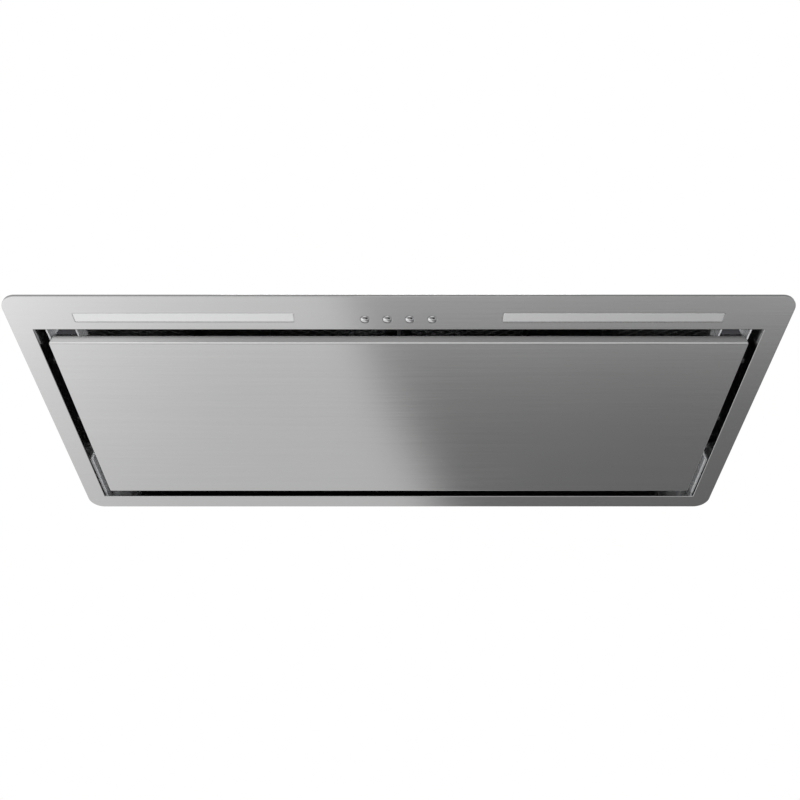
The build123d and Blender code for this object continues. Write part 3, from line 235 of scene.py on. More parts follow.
# ----------------------------------------------------------------- materials
def brushed(name, tone=0.66, rough=0.19, aniso=0.5, axis="X", grain=1.0, wear=0.5, tint=(1.0, 1.0, 1.0), edge_r=0.0, roll=None):
    """Brushed stainless sheet: fine scratches along one axis, faint cloudy variation, bright worn edges."""
    m, g, p = material(name, metallic=1.0)
    o = g.obj()
    along, fine = 5.0, 620.0
    k = {"X": (along, fine, fine), "Y": (fine, along, fine), "Z": (fine, fine, along)}[axis]
    k2 = {"X": (22.0, 2100.0, 2100.0), "Y": (2100.0, 22.0, 2100.0), "Z": (2100.0, 2100.0, 22.0)}[axis]
    k3 = {"X": (2.2, 150.0, 150.0), "Y": (150.0, 2.2, 150.0), "Z": (150.0, 150.0, 2.2)}[axis]
    n1 = g.noise(g.vmul(o, k), 1.0, 3.0, 0.6)
    n2 = g.noise(g.vmul(o, k2), 1.0, 2.0, 0.5)
    n3 = g.noise(g.vmul(o, k3), 1.0, 2.0, 0.5)
    cloud = g.noise(o, 9.0, 3.0, 0.55)
    mix12 = g.mad(n2, 0.4, g.mul(n1, 0.6))
    tone_v = g.mad(g.sub(mix12, 0.5), 0.075 * grain, g.mad(g.sub(n3, 0.5), 0.022 * grain, g.mad(g.sub(cloud, 0.5), 0.02, 1.0)))
    comb = g.node("ShaderNodeCombineColor")
    for i in range(3):
        g.put(g.mul(tone_v, tone * tint[i]), comb.inputs[i])
    col = comb.outputs[0]
    rv = g.mad(g.sub(mix12, 0.5), 0.07 * grain, g.mad(g.sub(cloud, 0.5), 0.03, rough))
    height = g.mad(n3, 0.6, mix12)
    if edge_r > 0:
        rn = g.rounded(edge_r)
        mask = g.edge_mask(rn)
        col = g.mixc(g.mul(mask, wear), col, grey(min(1.0, tone * 1.25), tint))
        rv = g.mix(mask, rv, rough * 0.8)
        nrm = g.bump(height, 0.00003 * grain, rn)
    else:
        nrm = g.bump(height, 0.00003 * grain)
    if roll:
        zz = g.xyz(o)[2]
        down = g.node("ShaderNodeVectorTransform", vector_type="VECTOR", convert_from="OBJECT", convert_to="WORLD")
        lean = g.node("ShaderNodeCombineXYZ")
        g.put(g.mul(g.lin(zz, -0.005, 0.004, roll[0], roll[1]), -1.0), lean.inputs[2])
        g.put(lean.outputs[0], down.inputs[0])
        unit = g.node("ShaderNodeVectorMath", operation="NORMALIZE")
        g.put(g.vadd(nrm, down.outputs[0]), unit.inputs[0])
        nrm = unit.outputs[0]
    g.put(col, p.inputs["Base Color"])
    g.put(rv, p.inputs["Roughness"])
    g.put(nrm, p.inputs["Normal"])
    if aniso:
        p.inputs["Anisotropic"].default_value = aniso
        d = {"X": (1.0, 0.0, 0.0), "Y": (0.0, 1.0, 0.0), "Z": (0.0, 0.0, 1.0)}[axis]
        g.put(g.cross(g.vadd(g.normal(), (0.001, 0.0013, 0.0017)), d), p.inputs["Tangent"])
    return m


def galvanised(name, tone=0.57, rough=0.33, spangle=1.0, scale=190.0, edge_r=0.0009, metallic=0.94):
    """Hot-dip galvanised sheet: soft crystals of differing grey, a faint streak of the coil, rubbed edges."""
    m, g, p = material(name, metallic=metallic)
    o = g.obj()
    warp = g.node("ShaderNodeTexNoise", noise_dimensions="3D")
    g.put(o, warp.inputs["Vector"])
    warp.inputs["Scale"].default_value = 260.0
    warp.inputs["Detail"].default_value = 2.0
    v = g.vadd(o, g.vmul(g.vadd(warp.outputs["Color"], (-0.5, -0.5, -0.5)), (0.0022, 0.0022, 0.0022)))
    cell = g.node("ShaderNodeTexVoronoi", voronoi_dimensions="3D", feature="F1")
    g.put(v, cell.inputs["Vector"])
    cell.inputs["Scale"].default_value = scale
    cr, cg, cb = g.node("ShaderNodeSeparateColor"), None, None
    g.l.new(cell.outputs["Color"], cr.inputs[0])
    c1, c2 = cr.outputs[0], cr.outputs[1]
    cell2 = g.voronoi(v, scale * 2.7, out="Distance")
    streak = g.noise(g.vmul(o, (6.0, 260.0, 6.0)), 1.0, 3.0, 0.6)
    dust = g.noise(o, 17.0, 4.0, 0.6)
    tone_v = g.mad(g.sub(c1, 0.5), 0.20 * spangle, g.mad(g.sub(cell2, 0.4), 0.06 * spangle, g.mad(g.sub(streak, 0.5), 0.04, g.mad(g.sub(dust, 0.5), 0.05, 1.0))))
    comb = g.node("ShaderNodeCombineColor")
    for i, t in enumerate((0.985, 1.0, 1.02)):
        g.put(g.mul(tone_v, tone * t), comb.inputs[i])
    rn = g.rounded(edge_r)
    mask = g.edge_mask(rn)
    rub = g.mul(mask, g.step(g.noise(o, 210.0, 2.0, 0.6), 0.3, 0.6))
    col = g.mixc(g.mul(rub, 0.55), comb.outputs[0], grey(min(0.9, tone * 1.45)))
    rv = g.mad(g.sub(c2, 0.5), 0.12 * spangle, g.mad(g.sub(dust, 0.5), 0.07, rough))
    rv = g.mix(rub, rv, rough * 0.7)
    height = g.mad(cell2, 0.35, g.noise(o, 900.0, 2.0, 0.6))
    g.put(col, p.inputs["Base Color"])
    g.put(rv, p.inputs["Roughness"])
    g.put(g.bump(height, 0.00002, rn), p.inputs["Normal"])
    return m


def plastic(name, base=(0.03, 0.03, 0.03), rough=0.45, grain=1.0, edge_r=0.0006, grain_scale=1300.0, coat=0.0, wear=1.35, ior=1.48):
    """Moulded plastic: fine spark texture, faint flow marks, softened and slightly polished edges."""
    m, g, p = material(name, metallic=0.0)
    o = g.obj()
    fine = g.noise(o, grain_scale, 2.0, 0.6)
    flow = g.noise(g.vmul(o, (1.0, 1.0, 2.2)), 24.0, 4.0, 0.6, 0.8)
    k = g.mad(g.sub(flow, 0.5), 0.10, g.mad(g.sub(fine, 0.5), 0.10, 1.0))
    comb = g.node("ShaderNodeCombineColor")
    for i in range(3):
        g.put(g.mul(k, base[i]), comb.inputs[i])
    rn = g.rounded(edge_r)
    mask = g.edge_mask(rn)
    col = g.mixc(g.mul(mask, 0.5), comb.outputs[0], tuple(min(1.0, c * wear + 0.008) for c in base))
    rv = g.mad(g.sub(flow, 0.5), 0.12, g.mad(g.sub(fine, 0.5), 0.08 * grain, rough))
    rv = g.mix(mask, rv, rough * 0.82)
    g.put(col, p.inputs["Base Color"])
    g.put(rv, p.inputs["Roughness"])
    g.put(g.bump(fine, 0.000022 * grain, rn), p.inputs["Normal"])
    p.inputs["IOR"].default_value = ior
    if coat:
        p.inputs["Coat Weight"].default_value = coat
        p.inputs["Coat Roughness"].default_value = 0.25
    return m


def metal(name, base=(0.7, 0.7, 0.7), rough=0.32, cast=0.0, streak_axis=None, edge_r=0.0005, var=0.12):
    """Plain metal part: small scratches, stains and brighter rubbed edges; cast raises a sand-cast skin."""
    m, g, p = material(name, metallic=1.0)
    o = g.obj()
    k = {"X": (12.0, 700.0, 700.0), "Y": (700.0, 12.0, 700.0), "Z": (700.0, 700.0, 12.0), None: (420.0, 420.0, 420.0)}[streak_axis]
    n1 = g.noise(g.vmul(o, k), 1.0, 3.0, 0.6)
    n2 = g.noise(o, 60.0, 4.0, 0.6)
    t = g.mad(g.sub(n1, 0.5), var, g.mad(g.sub(n2, 0.5), var, 1.0))
    comb = g.node("ShaderNodeCombineColor")
    for i in range(3):
        g.put(g.mul(t, base[i]), comb.inputs[i])
    rn = g.rounded(edge_r)
    mask = g.edge_mask(rn)
    col = g.mixc(g.mul(mask, 0.6), comb.outputs[0], tuple(min(0.95, c * 1.3) for c in base))
    rv = g.mad(g.sub(n2, 0.5), 0.16, g.mad(g.sub(n1, 0.5), 0.10, rough))
    rv = g.mix(mask, rv, rough * 0.75)
    if cast:
        h = g.mad(g.noise(o, 520.0, 3.0, 0.6), 1.0, n1)
        nrm = g.bump(h, 0.00008 * cast, rn)
    else:
        nrm = g.bump(n1, 0.000012, rn)
    g.put(col, p.inputs["Base Color"])
    g.put(rv, p.inputs["Roughness"])
    g.put(nrm, p.inputs["Normal"])
    return m


M = {}
M["flange"] = brushed("brushed_flange", tone=0.66, rough=0.14, aniso=0.6, grain=1.0)
M["panel"] = brushed("brushed_panel", tone=0.655, rough=0.14, aniso=0.6, grain=1.1)
# A lighter, rougher copy of the panel steel for the panel's side walls: its higher tone is a painted highlight, and its
# shading normals lean downwards so the walls catch more light.
M["panel_edge"] = brushed("brushed_panel_edge", tone=0.68, rough=0.22, aniso=0.3, grain=1.0, roll=(0.57, 0.92))
M["bracket"] = galvanised("bright_zinc_bracket", tone=0.74, rough=0.27, spangle=0.5, scale=300.0, edge_r=0.0005, metallic=0.5)
M["arm"] = brushed("arm_steel", tone=0.66, rough=0.24, aniso=0.3, axis="Y", grain=0.8, edge_r=0.0005, wear=0.6)
M["galv"] = galvanised("galvanised_sheet")
M["galv_tray"] = galvanised("galvanised_tray", tone=0.57, rough=0.30, spangle=0.8, edge_r=0.0005)
M["alu_frame"] = metal("rolled_aluminium", base=(0.74, 0.75, 0.765), rough=0.34, streak_axis="X", edge_r=0.0006)
M["alu_mesh"] = metal("expanded_aluminium", base=(0.62, 0.625, 0.63), rough=0.30, streak_axis=None, edge_r=0.0001, var=0.18)
M["latch"] = metal("latch_aluminium", base=(0.64, 0.645, 0.655), rough=0.3, streak_axis="X", edge_r=0.0006)
M["spring"] = metal("spring_wire", base=(0.42, 0.41, 0.40), rough=0.3, streak_axis=None, edge_r=0.00005)
M["magnet"] = plastic("ferrite", base=(0.045, 0.045, 0.05), rough=0.55, grain=1.6, wear=2.2)
M["black"] = plastic("black_moulding", base=(0.022, 0.022, 0.023), rough=0.42, grain=1.0, edge_r=0.0007)
M["fan"] = plastic("fan_moulding", base=(0.075, 0.078, 0.083), rough=0.5, grain=1.2, edge_r=0.0006)
M["white"] = plastic("pale_moulding", base=(0.72, 0.72, 0.70), rough=0.4, grain=0.9, edge_r=0.0008, wear=1.12)
M["terminal"] = plastic("terminal_moulding", base=(0.66, 0.65, 0.60), rough=0.38, grain=0.6, edge_r=0.0004, wear=1.1)
M["rubber"] = plastic("rubber", base=(0.018, 0.018, 0.018), rough=0.72, grain=1.5, edge_r=0.0004, wear=1.6)
M["lead"] = plastic("sheath", base=(0.05, 0.05, 0.052), rough=0.4, grain=0.7, edge_r=0.0002, wear=1.2)
M["screw"] = metal("zinc_plate", base=(0.68, 0.68, 0.70), rough=0.26, edge_r=0.00025, var=0.1)
M["button"] = metal("satin_chrome", base=(0.78, 0.78, 0.79), rough=0.10, edge_r=0.0002, var=0.05)
M["lamp_body"] = metal("lamp_housing_metal", base=(0.62, 0.62, 0.63), rough=0.42, streak_axis="X")
M["capacitor"] = metal("drawn_can", base=(0.74, 0.74, 0.75), rough=0.22, streak_axis="X")
M["weld"] = metal("weld_mark", base=(0.42, 0.43, 0.45), rough=0.5, edge_r=0.0002, var=0.25)


def lens_material():
    m, g, p = material("satin_lens", metallic=0.92, rough=0.42, base=(0.96, 0.96, 0.965))
    o = g.obj()
    ridge = g.noise(g.vmul(o, (900.0, 60.0, 60.0)), 1.0, 2.0, 0.5)
    fog = g.noise(o, 28.0, 3.0, 0.5)
    k = g.mad(g.sub(fog, 0.5), 0.03, g.mad(g.sub(ridge, 0.5), 0.03, 0.94))
    comb = g.node("ShaderNodeCombineColor")
    for i, t in enumerate((0.995, 1.0, 1.0)):
        g.put(g.mul(k, t), comb.inputs[i])
    g.put(comb.outputs[0], p.inputs["Base Color"])
    g.put(g.mad(g.sub(fog, 0.5), 0.06, 0.42), p.inputs["Roughness"])
    g.put(g.bump(ridge, 0.00001), p.inputs["Normal"])
    p.inputs["IOR"].default_value = 1.49
    return m


def motor_material():
    """Die-cast shields with a stack of dark laminations between them."""
    m, g, p = material("motor_metal", metallic=1.0)
    o = g.obj()
    x, y, z = g.xyz(o)
    core = g.mul(g.step(x, 0.0338, 0.0342), g.sub(1.0, g.step(x, 0.0618, 0.0622)))
    lam = g.node("ShaderNodeTexWave", wave_type="BANDS", bands_direction="X", wave_profile="SIN")
    g.put(o, lam.inputs["Vector"])
    lam.inputs["Scale"].default_value = 300.0
    lam.inputs["Distortion"].default_value = 0.3
    n = g.noise(o, 420.0, 3.0, 0.6)
    n2 = g.noise(o, 45.0, 4.0, 0.6)
    cast = g.mad(g.sub(n2, 0.5), 0.10, 0.55)
    laminated = g.mad(lam.outputs["Fac"], 0.10, g.mad(g.sub(n2, 0.5), 0.08, 0.17))
    v = g.mix(core, cast, laminated)
    comb = g.node("ShaderNodeCombineColor")
    for i, t in enumerate((1.0, 1.0, 1.02)):
        g.put(g.mul(v, t), comb.inputs[i])
    rn = g.rounded(0.0006)
    mask = g.edge_mask(rn)
    g.put(g.mixc(g.mul(mask, 0.5), comb.outputs[0], (0.75, 0.75, 0.77)), p.inputs["Base Color"])
    g.put(g.mix(core, g.mad(g.sub(n, 0.5), 0.2, 0.46), 0.38), p.inputs["Roughness"])
    h = g.mix(core, n, lam.outputs["Fac"])
    g.put(g.bump(h, 0.00009, rn), p.inputs["Normal"])
    return m


def board_material(name, chips_below=None, parts_above=None, base=(0.03, 0.16, 0.07), part=(0.02, 0.02, 0.022), chip=(0.85, 0.72, 0.28)):
    """Circuit board: solder mask with copper tracks under it; parts and light chips by height."""
    m, g, p = material(name, metallic=0.0, rough=0.35)
    o = g.obj()
    x, y, z = g.xyz(o)
    tracks = g.voronoi(g.vmul(o, (1.0, 1.0, 0.0)), 420.0, feature="DISTANCE_TO_EDGE", out="Distance", rand=0.35)
    t = g.sub(1.0, g.step(tracks, 0.05, 0.11))
    n = g.noise(o, 300.0, 3.0, 0.5)
    col = g.mixc(g.mul(t, 0.45), base, tuple(min(1.0, c * 1.9 + 0.03) for c in base))
    col = g.mixc(g.mul(g.sub(n, 0.45), 0.5), col, tuple(c * 0.7 for c in base))
    rough = g.mad(n, 0.2, 0.28)
    if parts_above is not None:
        up = g.step(z, parts_above, parts_above + 0.0001)
        shade = g.mixc(n, part, tuple(min(1.0, c * 3 + 0.02) for c in part))
        col = g.mixc(up, col, shade)
    if chips_below is not None:
        down = g.sub(1.0, g.step(z, chips_below - 0.0001, chips_below))
        col = g.mixc(down, col, chip)
    rn = g.rounded(0.0003)
    g.put(col, p.inputs["Base Color"])
    g.put(rough, p.inputs["Roughness"])
    g.put(g.bump(t, 0.00003, rn), p.inputs["Normal"])
    return m


M["lens"] = lens_material()
M["motor"] = motor_material()
M["control_board"] = board_material("control_board_mask", parts_above=0.02165)
M["lamp_board"] = board_material("lamp_board_mask", chips_below=0.0042, base=(0.78, 0.78, 0.76), chip=(0.86, 0.66, 0.16))

CAD_LOOK = {
    "panel_inner_tray": "galv_tray", "panel_hinge_arms": "arm", "strike_plates": "arm",
    "hinge_brackets": "bracket", "hinge_pins": "screw", "magnet_brackets": "bracket", "catch_magnets": "magnet",
    "lower_casing": "galv", "front_partition": "galv", "motor_casing": "galv", "top_plate": "galv", "filter_rails": "galv",
    "filter_frame_left": "alu_frame", "filter_frame_right": "alu_frame",
    "filter_latch_left": "latch", "filter_latch_right": "latch",
    "lamp_housings": "lamp_body", "lamp_boards": "lamp_board", "lamp_driver": "white",
    "button_carrier": "black", "control_board": "control_board",
    "scroll_housing_left": "fan", "scroll_housing_right": "fan", "impeller": "fan",
    "motor_shaft": "screw", "motor": "motor", "motor_bracket": "galv", "motor_mounts": "rubber",
    "electrical_box": "white", "electrical_box_cover": "white", "terminal_block": "terminal",
    "run_capacitor": "capacitor", "capacitor_clip": "galv", "cable_gland": "black",
    "outlet_spigot": "black", "damper_axle": "screw", "damper_flap_front": "black", "damper_flap_rear": "black",
    "frame_fasteners": "screw", "casing_screws": "screw", "small_screws": "screw", "fan_screws": "screw",
    "motor_lead": "lead", "low_voltage_leads": "lead", "lead_grommets": "rubber",
}
for node, look in CAD_LOOK.items():
    mesh = frame["nodes"][node].data
    mesh.materials.clear()
    mesh.materials.append(M[look])


# ------------------------------------------------------------------ mesh kit
class Shape:
    """A mesh under construction, in millimetres in the row frame."""

    def __init__(self):
        self.bm = bmesh.new()

    def ring(self, pts):
        return [self.bm.verts.new((x * MM, y * MM, z * MM)) for x, y, z in pts]

    def bridge(self, a, b, closed=True):
        n = len(a)
        for i in range(n if closed else n - 1):
            j = (i + 1) % n
            quad = [a[i], a[j], b[j], b[i]]
            self.bm.faces.new(quad)

    def loft(self, rings, closed=True):
        made = [self.ring(r) for r in rings]
        for a, b in zip(made, made[1:]):
            self.bridge(a, b, closed)
        return made

    def cap(self, ring, flip=False):
        self.bm.faces.new(list(reversed(ring)) if flip else ring)

    def edges_of(self, ring):
        made = []
        for i, v in enumerate(ring):
            w = ring[(i + 1) % len(ring)]
            e = self.bm.edges.get((v, w)) or self.bm.edges.new((v, w))
            made.append(e)
        return made

    def fill(self, rings, normal):
        """Flat face between an outer ring and the rings of its holes."""
        edges = [e for r in rings for e in self.edges_of(r)]
        bmesh.ops.triangle_fill(self.bm, use_beauty=True, use_dissolve=False, edges=edges, normal=Vector(normal))

    def done(self, name, mat, body="hood", slot=None, replaces=(), angle=38.0, recalc=True):
        if recalc:
            bmesh.ops.recalc_face_normals(self.bm, faces=self.bm.faces)
        mesh = bpy.data.meshes.new(name)
        self.bm.to_mesh(mesh)
        self.bm.free()
        for poly in mesh.polygons:
            poly.use_smooth = True
        mesh.set_sharp_from_angle(angle=math.radians(angle))
        mesh.materials.append(mat)
        o = bpy.data.objects.new(name, mesh)
        SC.collection.objects.link(o)
        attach(o, body)
        if replaces:
            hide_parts(*replaces)
        return o


def rrect(x0, x1, y0, y1, r, z, n=8):
    """Rounded rectangle, counter-clockwise seen from +Z."""
    r = max(r, 0.02)
    pts = []
    for cx, cy, a0 in ((x1 - r, y1 - r, 0), (x0 + r, y1 - r, 90), (x0 + r, y0 + r, 180), (x1 - r, y0 + r, 270)):
        for i in range(n + 1):
            a = math.radians(a0 + 90.0 * i / n)
            pts.append((cx + r * math.cos(a), cy + r * math.sin(a), z))
    return pts


def circle(cx, cy, r, z, n=32, a0=0.0):
    return [(cx + r * math.cos(2 * math.pi * i / n + a0), cy + r * math.sin(2 * math.pi * i / n + a0), z) for i in range(n)]


def arc(cx, cz, r, a0, a1, n):
    """Points (u, w) of an arc, angles in degrees."""
    return [(cx + r * math.cos(math.radians(a0 + (a1 - a0) * i / n)), cz + r * math.sin(math.radians(a0 + (a1 - a0) * i / n))) for i in range(n + 1)]


# -------------------------------------------------------------- bottom frame
W2, D2, OUT_R = 349.0, 149.0, 14.5
OX, OY0, OY1 = 329.5, -111.7, 130.4
Z0, Z1 = -3.0, -2.0

s = Shape()
profile = [(3.4, Z0), (0.9, Z0)] + arc(0.35, Z0 + 0.35, 0.35, 270, 180, 6) + [(0.0, -2.4), (0.0, -0.7)]
profile += arc(0.5, -0.5, 0.5, 180, 90, 4) + [(0.9, 0.0), (5.5, 0.0)] + arc(5.6, -0.4, 0.4, 90, -20, 3)
profile += [(5.7, -0.95), (1.5, -1.0)] + [(1.1, -1.12), (1.0, -1.35)] + [(1.0, -1.7), (1.1, -1.9), (1.35, Z1), (3.4, Z1)]
rings = [rrect(-W2 + d, W2 - d, -D2 + d, D2 - d, OUT_R - d, z, 12) for d, z in profile]
outer = s.loft(rings)
profile = [(3.0, Z0), (1.0, Z0)] + arc(0.6, Z0 + 0.6, 0.6, 270, 180, 8) + [(0.0, -2.2), (0.0, 23.5)]
profile += arc(0.5, 23.5, 0.5, 180, 0, 6) + [(1.0, -1.7), (1.06, -1.9), (1.25, Z1), (3.0, Z1)]
rings = [rrect(-OX - e, OX + e, OY0 - e, OY1 + e, 0.45 + e, z, 6) for e, z in profile]
inner = s.loft(rings)
low, high = [outer[0], inner[0]], [outer[-1], inner[-1]]
hole_profile = [(0.75, Z0), (0.28, Z0)] + [(0.1, Z0 + 0.05), (0.02, Z0 + 0.16)] + [(0.0, Z0 + 0.4), (0.0, Z1 - 0.08), (0.1, Z1), (0.7, Z1)]
for sx in (-1, 1):
    x0, x1 = sorted((sx * 93.0, sx * 289.0))
    rs = s.loft([rrect(x0 - e, x1 + e, -125.45 - 4.85 - e, -125.45 + 4.85 + e, 1.0 + e, z, 6) for e, z in hole_profile])
    low.append(rs[0])
    high.append(rs[-1])
for bx in (-30.0, -10.0, 10.0, 30.0):
    rs = s.loft([circle(bx, -123.5, 4.12 + e * 0.6, z, 40) for e, z in hole_profile])
    low.append(rs[0])
    high.append(rs[-1])
s.fill(low, (0, 0, -1))
s.fill(high, (0, 0, 1))
# weld studs on the upper side
for sx in (-1, 1):
    for x, y, r, top in ((50.0, -123.5, 1.5, 5.5), (86.0, -125.45, 1.5, 5.5), (296.0, -125.45, 1.5, 5.5), (68.0, -125.45, 2.0, 7.0), (314.0, -125.45, 2.0, 7.0)):
        rs = s.loft([circle(sx * x, y, rr, z, 20) for rr, z in ((r + 0.5, Z1 + 0.01), (r + 0.4, Z1 + 0.3), (r, Z1 + 0.5), (r, top - 0.4), (r - 0.35, top))])
        s.cap(rs[-1])
        s.cap(rs[0], True)
s.done("flange_frame", M["flange"], "hood", "stainless", ("bottom_frame",))

# ------------------------------------------------------------- suction panel
s = Shape()
PX, PY0, PY1, PZ0, PZ1 = 319.5, -98.4, 117.3, -6.0, 4.0
T = 0.8
profile = [(6.0, PZ0), (1.75, PZ0)] + arc(1.4, PZ0 + 1.4, 1.4, 270, 180, 10) + [(0.0, -4.0), (0.0, PZ1 - 0.3)]
profile += [(0.1, PZ1 - 0.06), (0.28, PZ1), (0.52, PZ1), (0.7, PZ1 - 0.06), (T, PZ1 - 0.3), (T, -4.2)]
profile += [(T + a, b) for a, b in arc(0.6, PZ0 + T + 0.6, 0.6, 180, 270, 4)] + [(2.6, PZ0 + T), (6.0, PZ0 + T)]
rings = [rrect(-PX + d, PX - d, PY0 + d, PY1 - d, 1.9 - min(d, 1.8), z, 6) for d, z in profile]
made = s.loft(rings)
s.cap(made[0])
s.cap(made[-1])
skin = s.done("panel_outer_skin", M["panel"], "panel", "stainless", ("panel_skin",))
skin.data.materials.append(M["panel_edge"])
# The side walls take the lighter copy of the steel, a painted highlight.
for poly in skin.data.polygons:
    if abs(poly.normal.z) < 0.45:
        poly.material_index = 1

# -------------------------------------------------------------- lamp lenses
for side, sx in (("left", -1), ("right", 1)):
    x0, x1 = sorted((sx * 93.0, sx * 289.0))
    x0, x1, y0, y1 = x0 + 0.06, x1 - 0.06, -125.45 - 4.79, -125.45 + 4.79
    s = Shape()
    prof = [(0.9, -2.93), (0.4, -2.925), (0.14, -2.89), (0.04, -2.80), (0.0, -2.65), (0.0, -2.0), (-0.9, -2.0), (-1.0, -1.9), (-1.0, -0.7), (-0.9, -0.6)]
    rs = s.loft([rrect(x0 + d, x1 - d, y0 + d, y1 - d, 0.85 - d if d > 0 else 0.85, z, 5) for d, z in prof])
    s.cap(rs[0])
    s.cap(rs[-1])
    s.done("lamp_lens_" + side, M["lens"], "hood", "frosted_lens", ("lamp_diffuser_" + side,))

# ------------------------------------------------------------------ buttons
for i, bx in enumerate((-30.0, -10.0, 10.0, 30.0)):
    s = Shape()
    cap_h, rb = 1.05, 4.0
    prof = []
    for k in range(1, 19):
        q = (rb - 0.08) * k / 18.0
        prof.append((q, -3.0 - cap_h * (1.0 - (q / rb) ** 2.5)))
    prof += [(rb - 0.04, -2.93), (rb, -2.82), (rb, -2.0), (5.1, -2.0), (5.2, -1.9), (5.2, -1.1), (5.1, -1.0), (2.5, -1.0), (2.4, -0.9), (2.4, 13.7), (2.1, 14.0)]
    rs = s.loft([circle(bx, -123.5, r, z, 48) for r, z in prof])
    tip = s.bm.verts.new((bx * MM, -123.5 * MM, (-3.0 - cap_h) * MM))
    for k in range(48):
        s.bm.faces.new((tip, rs[0][k], rs[0][(k + 1) % 48]))
    s.cap(rs[-1])
    s.done("button_cap_%d" % (i + 1), M["button"], "button_%d" % (i + 1), "button_metal", ("push_button_%d" % (i + 1),))


# ------------------------------------------------------------------- springs
def helix(name, origin, axis, height, radius, wire, pitch, body, slot, replaces, per_turn=20, sides=8, closed=1.25):
    """Compression spring along Y or Z, its pitch easing off towards both ends."""
    s = Shape()
    turns_mid = height / pitch
    total = turns_mid
    count = int(total * per_turn)
    rings = []
    for k in range(count + 1):
        u = k / count
        # ends: the pitch eases off towards both ends
        e = 0.5 - 0.5 * math.cos(math.pi * u)
        h = height * (0.72 * u + 0.28 * e)
        a = 2 * math.pi * total * u
        dh = height * (0.72 + 0.28 * 0.5 * math.pi * math.sin(math.pi * u))
        tang = Vector((-math.sin(a) * radius * 2 * math.pi * total, math.cos(a) * radius * 2 * math.pi * total, dh)).normalized()
        outw = Vector((math.cos(a), math.sin(a), 0))
        third = tang.cross(outw).normalized()
        c = Vector((radius * math.cos(a), radius * math.sin(a), h))
        ring = []
        for q in range(sides):
            b = 2 * math.pi * q / sides
            v = c + outw * (wire * math.cos(b)) + third * (wire * math.sin(b))
            if axis == "Z":
                ring.append((origin[0] + v.x, origin[1] + v.y, origin[2] + v.z))
            else:
                ring.append((origin[0] + v.x, origin[1] + v.z, origin[2] - v.y))
        rings.append(ring)
    made = s.loft(rings)
    s.cap(made[0])
    s.cap(made[-1])
    return s.done(name, M["spring"], body, slot, replaces, angle=60)


for i, bx in enumerate((-30.0, -10.0, 10.0, 30.0)):
    o = helix("return_spring_%d" % (i + 1), (bx, -123.5, -0.7), "Z", 8.3, 3.6, 0.27, 1.85, "hood", "spring_steel", ("button_spring_%d" % (i + 1),))
    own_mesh(o)
for side, xc in (("left", -164.0), ("right", 164.0)):
    o = helix("latch_spring_" + side, (xc, -68.8, 31.5), "Y", 18.0, 1.75, 0.28, 2.0, "hood", "spring_steel", ("filter_latch_springs",))
    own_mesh(o)


# --------------------------------------------------- expanded aluminium mesh
def expanded(name, xc, z, lwd, swd, strand, thick, tilt, turned=False):
    """Expanded metal: staggered diamonds, each ring of strands tilted as the press leaves it."""
    s = Shape()
    x0, x1, y0, y1 = xc - 156.0, xc + 156.0, -98.5, 117.5
    px0, px1, py = xc - 40.4, xc + 40.4, -47.6
    a, b = (swd, lwd) if turned else (lwd, swd)
    nx, ny = int((x1 - x0) / a) + 2, int((y1 - y0) / b) + 2
    for par in (0, 1):
        for i in range(nx):
            for j in range(ny):
                cx, cy = x0 + (i + 0.5 * par) * a, y0 + (j + 0.5 * par) * b
                if not (x0 + a / 2 <= cx <= x1 - a / 2 and y0 + b / 2 <= cy <= y1 - b / 2):
                    continue
                if px0 - a / 2 < cx < px1 + a / 2 and cy < py + b / 2:
                    continue
                cy2 = cy
                o4 = [(-a / 2, 0), (0, -b / 2), (a / 2, 0), (0, b / 2)]
                k = 1.0 - strand
                kk = 1.0 - strand * 0.8
                lo_o, lo_i, hi_o, hi_i = [], [], [], []
                for ux, uy in o4:
                    dz = tilt * (ux / a if turned else uy / b)
                    lo_o.append((cx + ux, cy2 + uy, z + dz))
                    hi_o.append((cx + ux, cy2 + uy, z + dz + thick))
                    dz2 = dz * k
                    lo_i.append((cx + ux * kk, cy2 + uy * k, z + dz2 - 0.02))
                    hi_i.append((cx + ux * kk, cy2 + uy * k, z + dz2 + thick))
                r1, r2, r3, r4 = s.ring(lo_o), s.ring(lo_i), s.ring(hi_i), s.ring(hi_o)
                s.bridge(r1, r2)
                s.bridge(r2, r3)
                s.bridge(r3, r4)
                s.bridge(r4, r1)
    return s.done(name, M["alu_mesh"], "hood", "filter_mesh", (), angle=20, recalc=False)


for side, xc in (("left", -164.0), ("right", 164.0)):
    a = expanded("mesh_outer_" + side, xc, 31.1, 12.5, 6.4, 0.2, 0.35, 0.55)
    b = expanded("mesh_core_" + side, xc, 34.7, 15.0, 7.5, 0.2, 0.5, 0.8, turned=True)
    c = expanded("mesh_back_" + side, xc, 37.5, 12.5, 6.4, 0.24, 0.35, 0.5)
    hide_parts("filter_mesh_" + side)

# --------------------------------------- pressed beads, seams, rivets and ribs
def face_map(o, u, v, w):
    """Places (a, b, h) of a wall's own plane: a and b along it, h out of it."""
    return lambda a, b, h: tuple(o[i] + a * u[i] + b * v[i] + h * w[i] for i in range(3))


def oblong(hl, hw, r, turn, n):
    """Outline of a slot-shaped or round-cornered pad about its own centre."""
    c, q = math.cos(math.radians(turn)), math.sin(math.radians(turn))
    return [(c * x - q * y, q * x + c * y) for x, y, _ in rrect(-hl, hl, -hw, hw, r, 0.0, n)]


def pad(s, place, ca, cb, length, width, profile, r=None, turn=0.0, n=6):
    """A raised closed pad; profile is a list of (inset, height)."""
    rings = []
    for d, h in profile:
        hl, hw = length / 2 - d, width / 2 - d
        rr_ = max(0.05, (min(hl, hw) if r is None else r - d))
        rings.append([place(ca + x, cb + y, h) for x, y in oblong(hl, hw, min(rr_, hl, hw), turn, n)])
    made = s.loft(rings)
    s.cap(made[-1])
    s.cap(made[0], True)


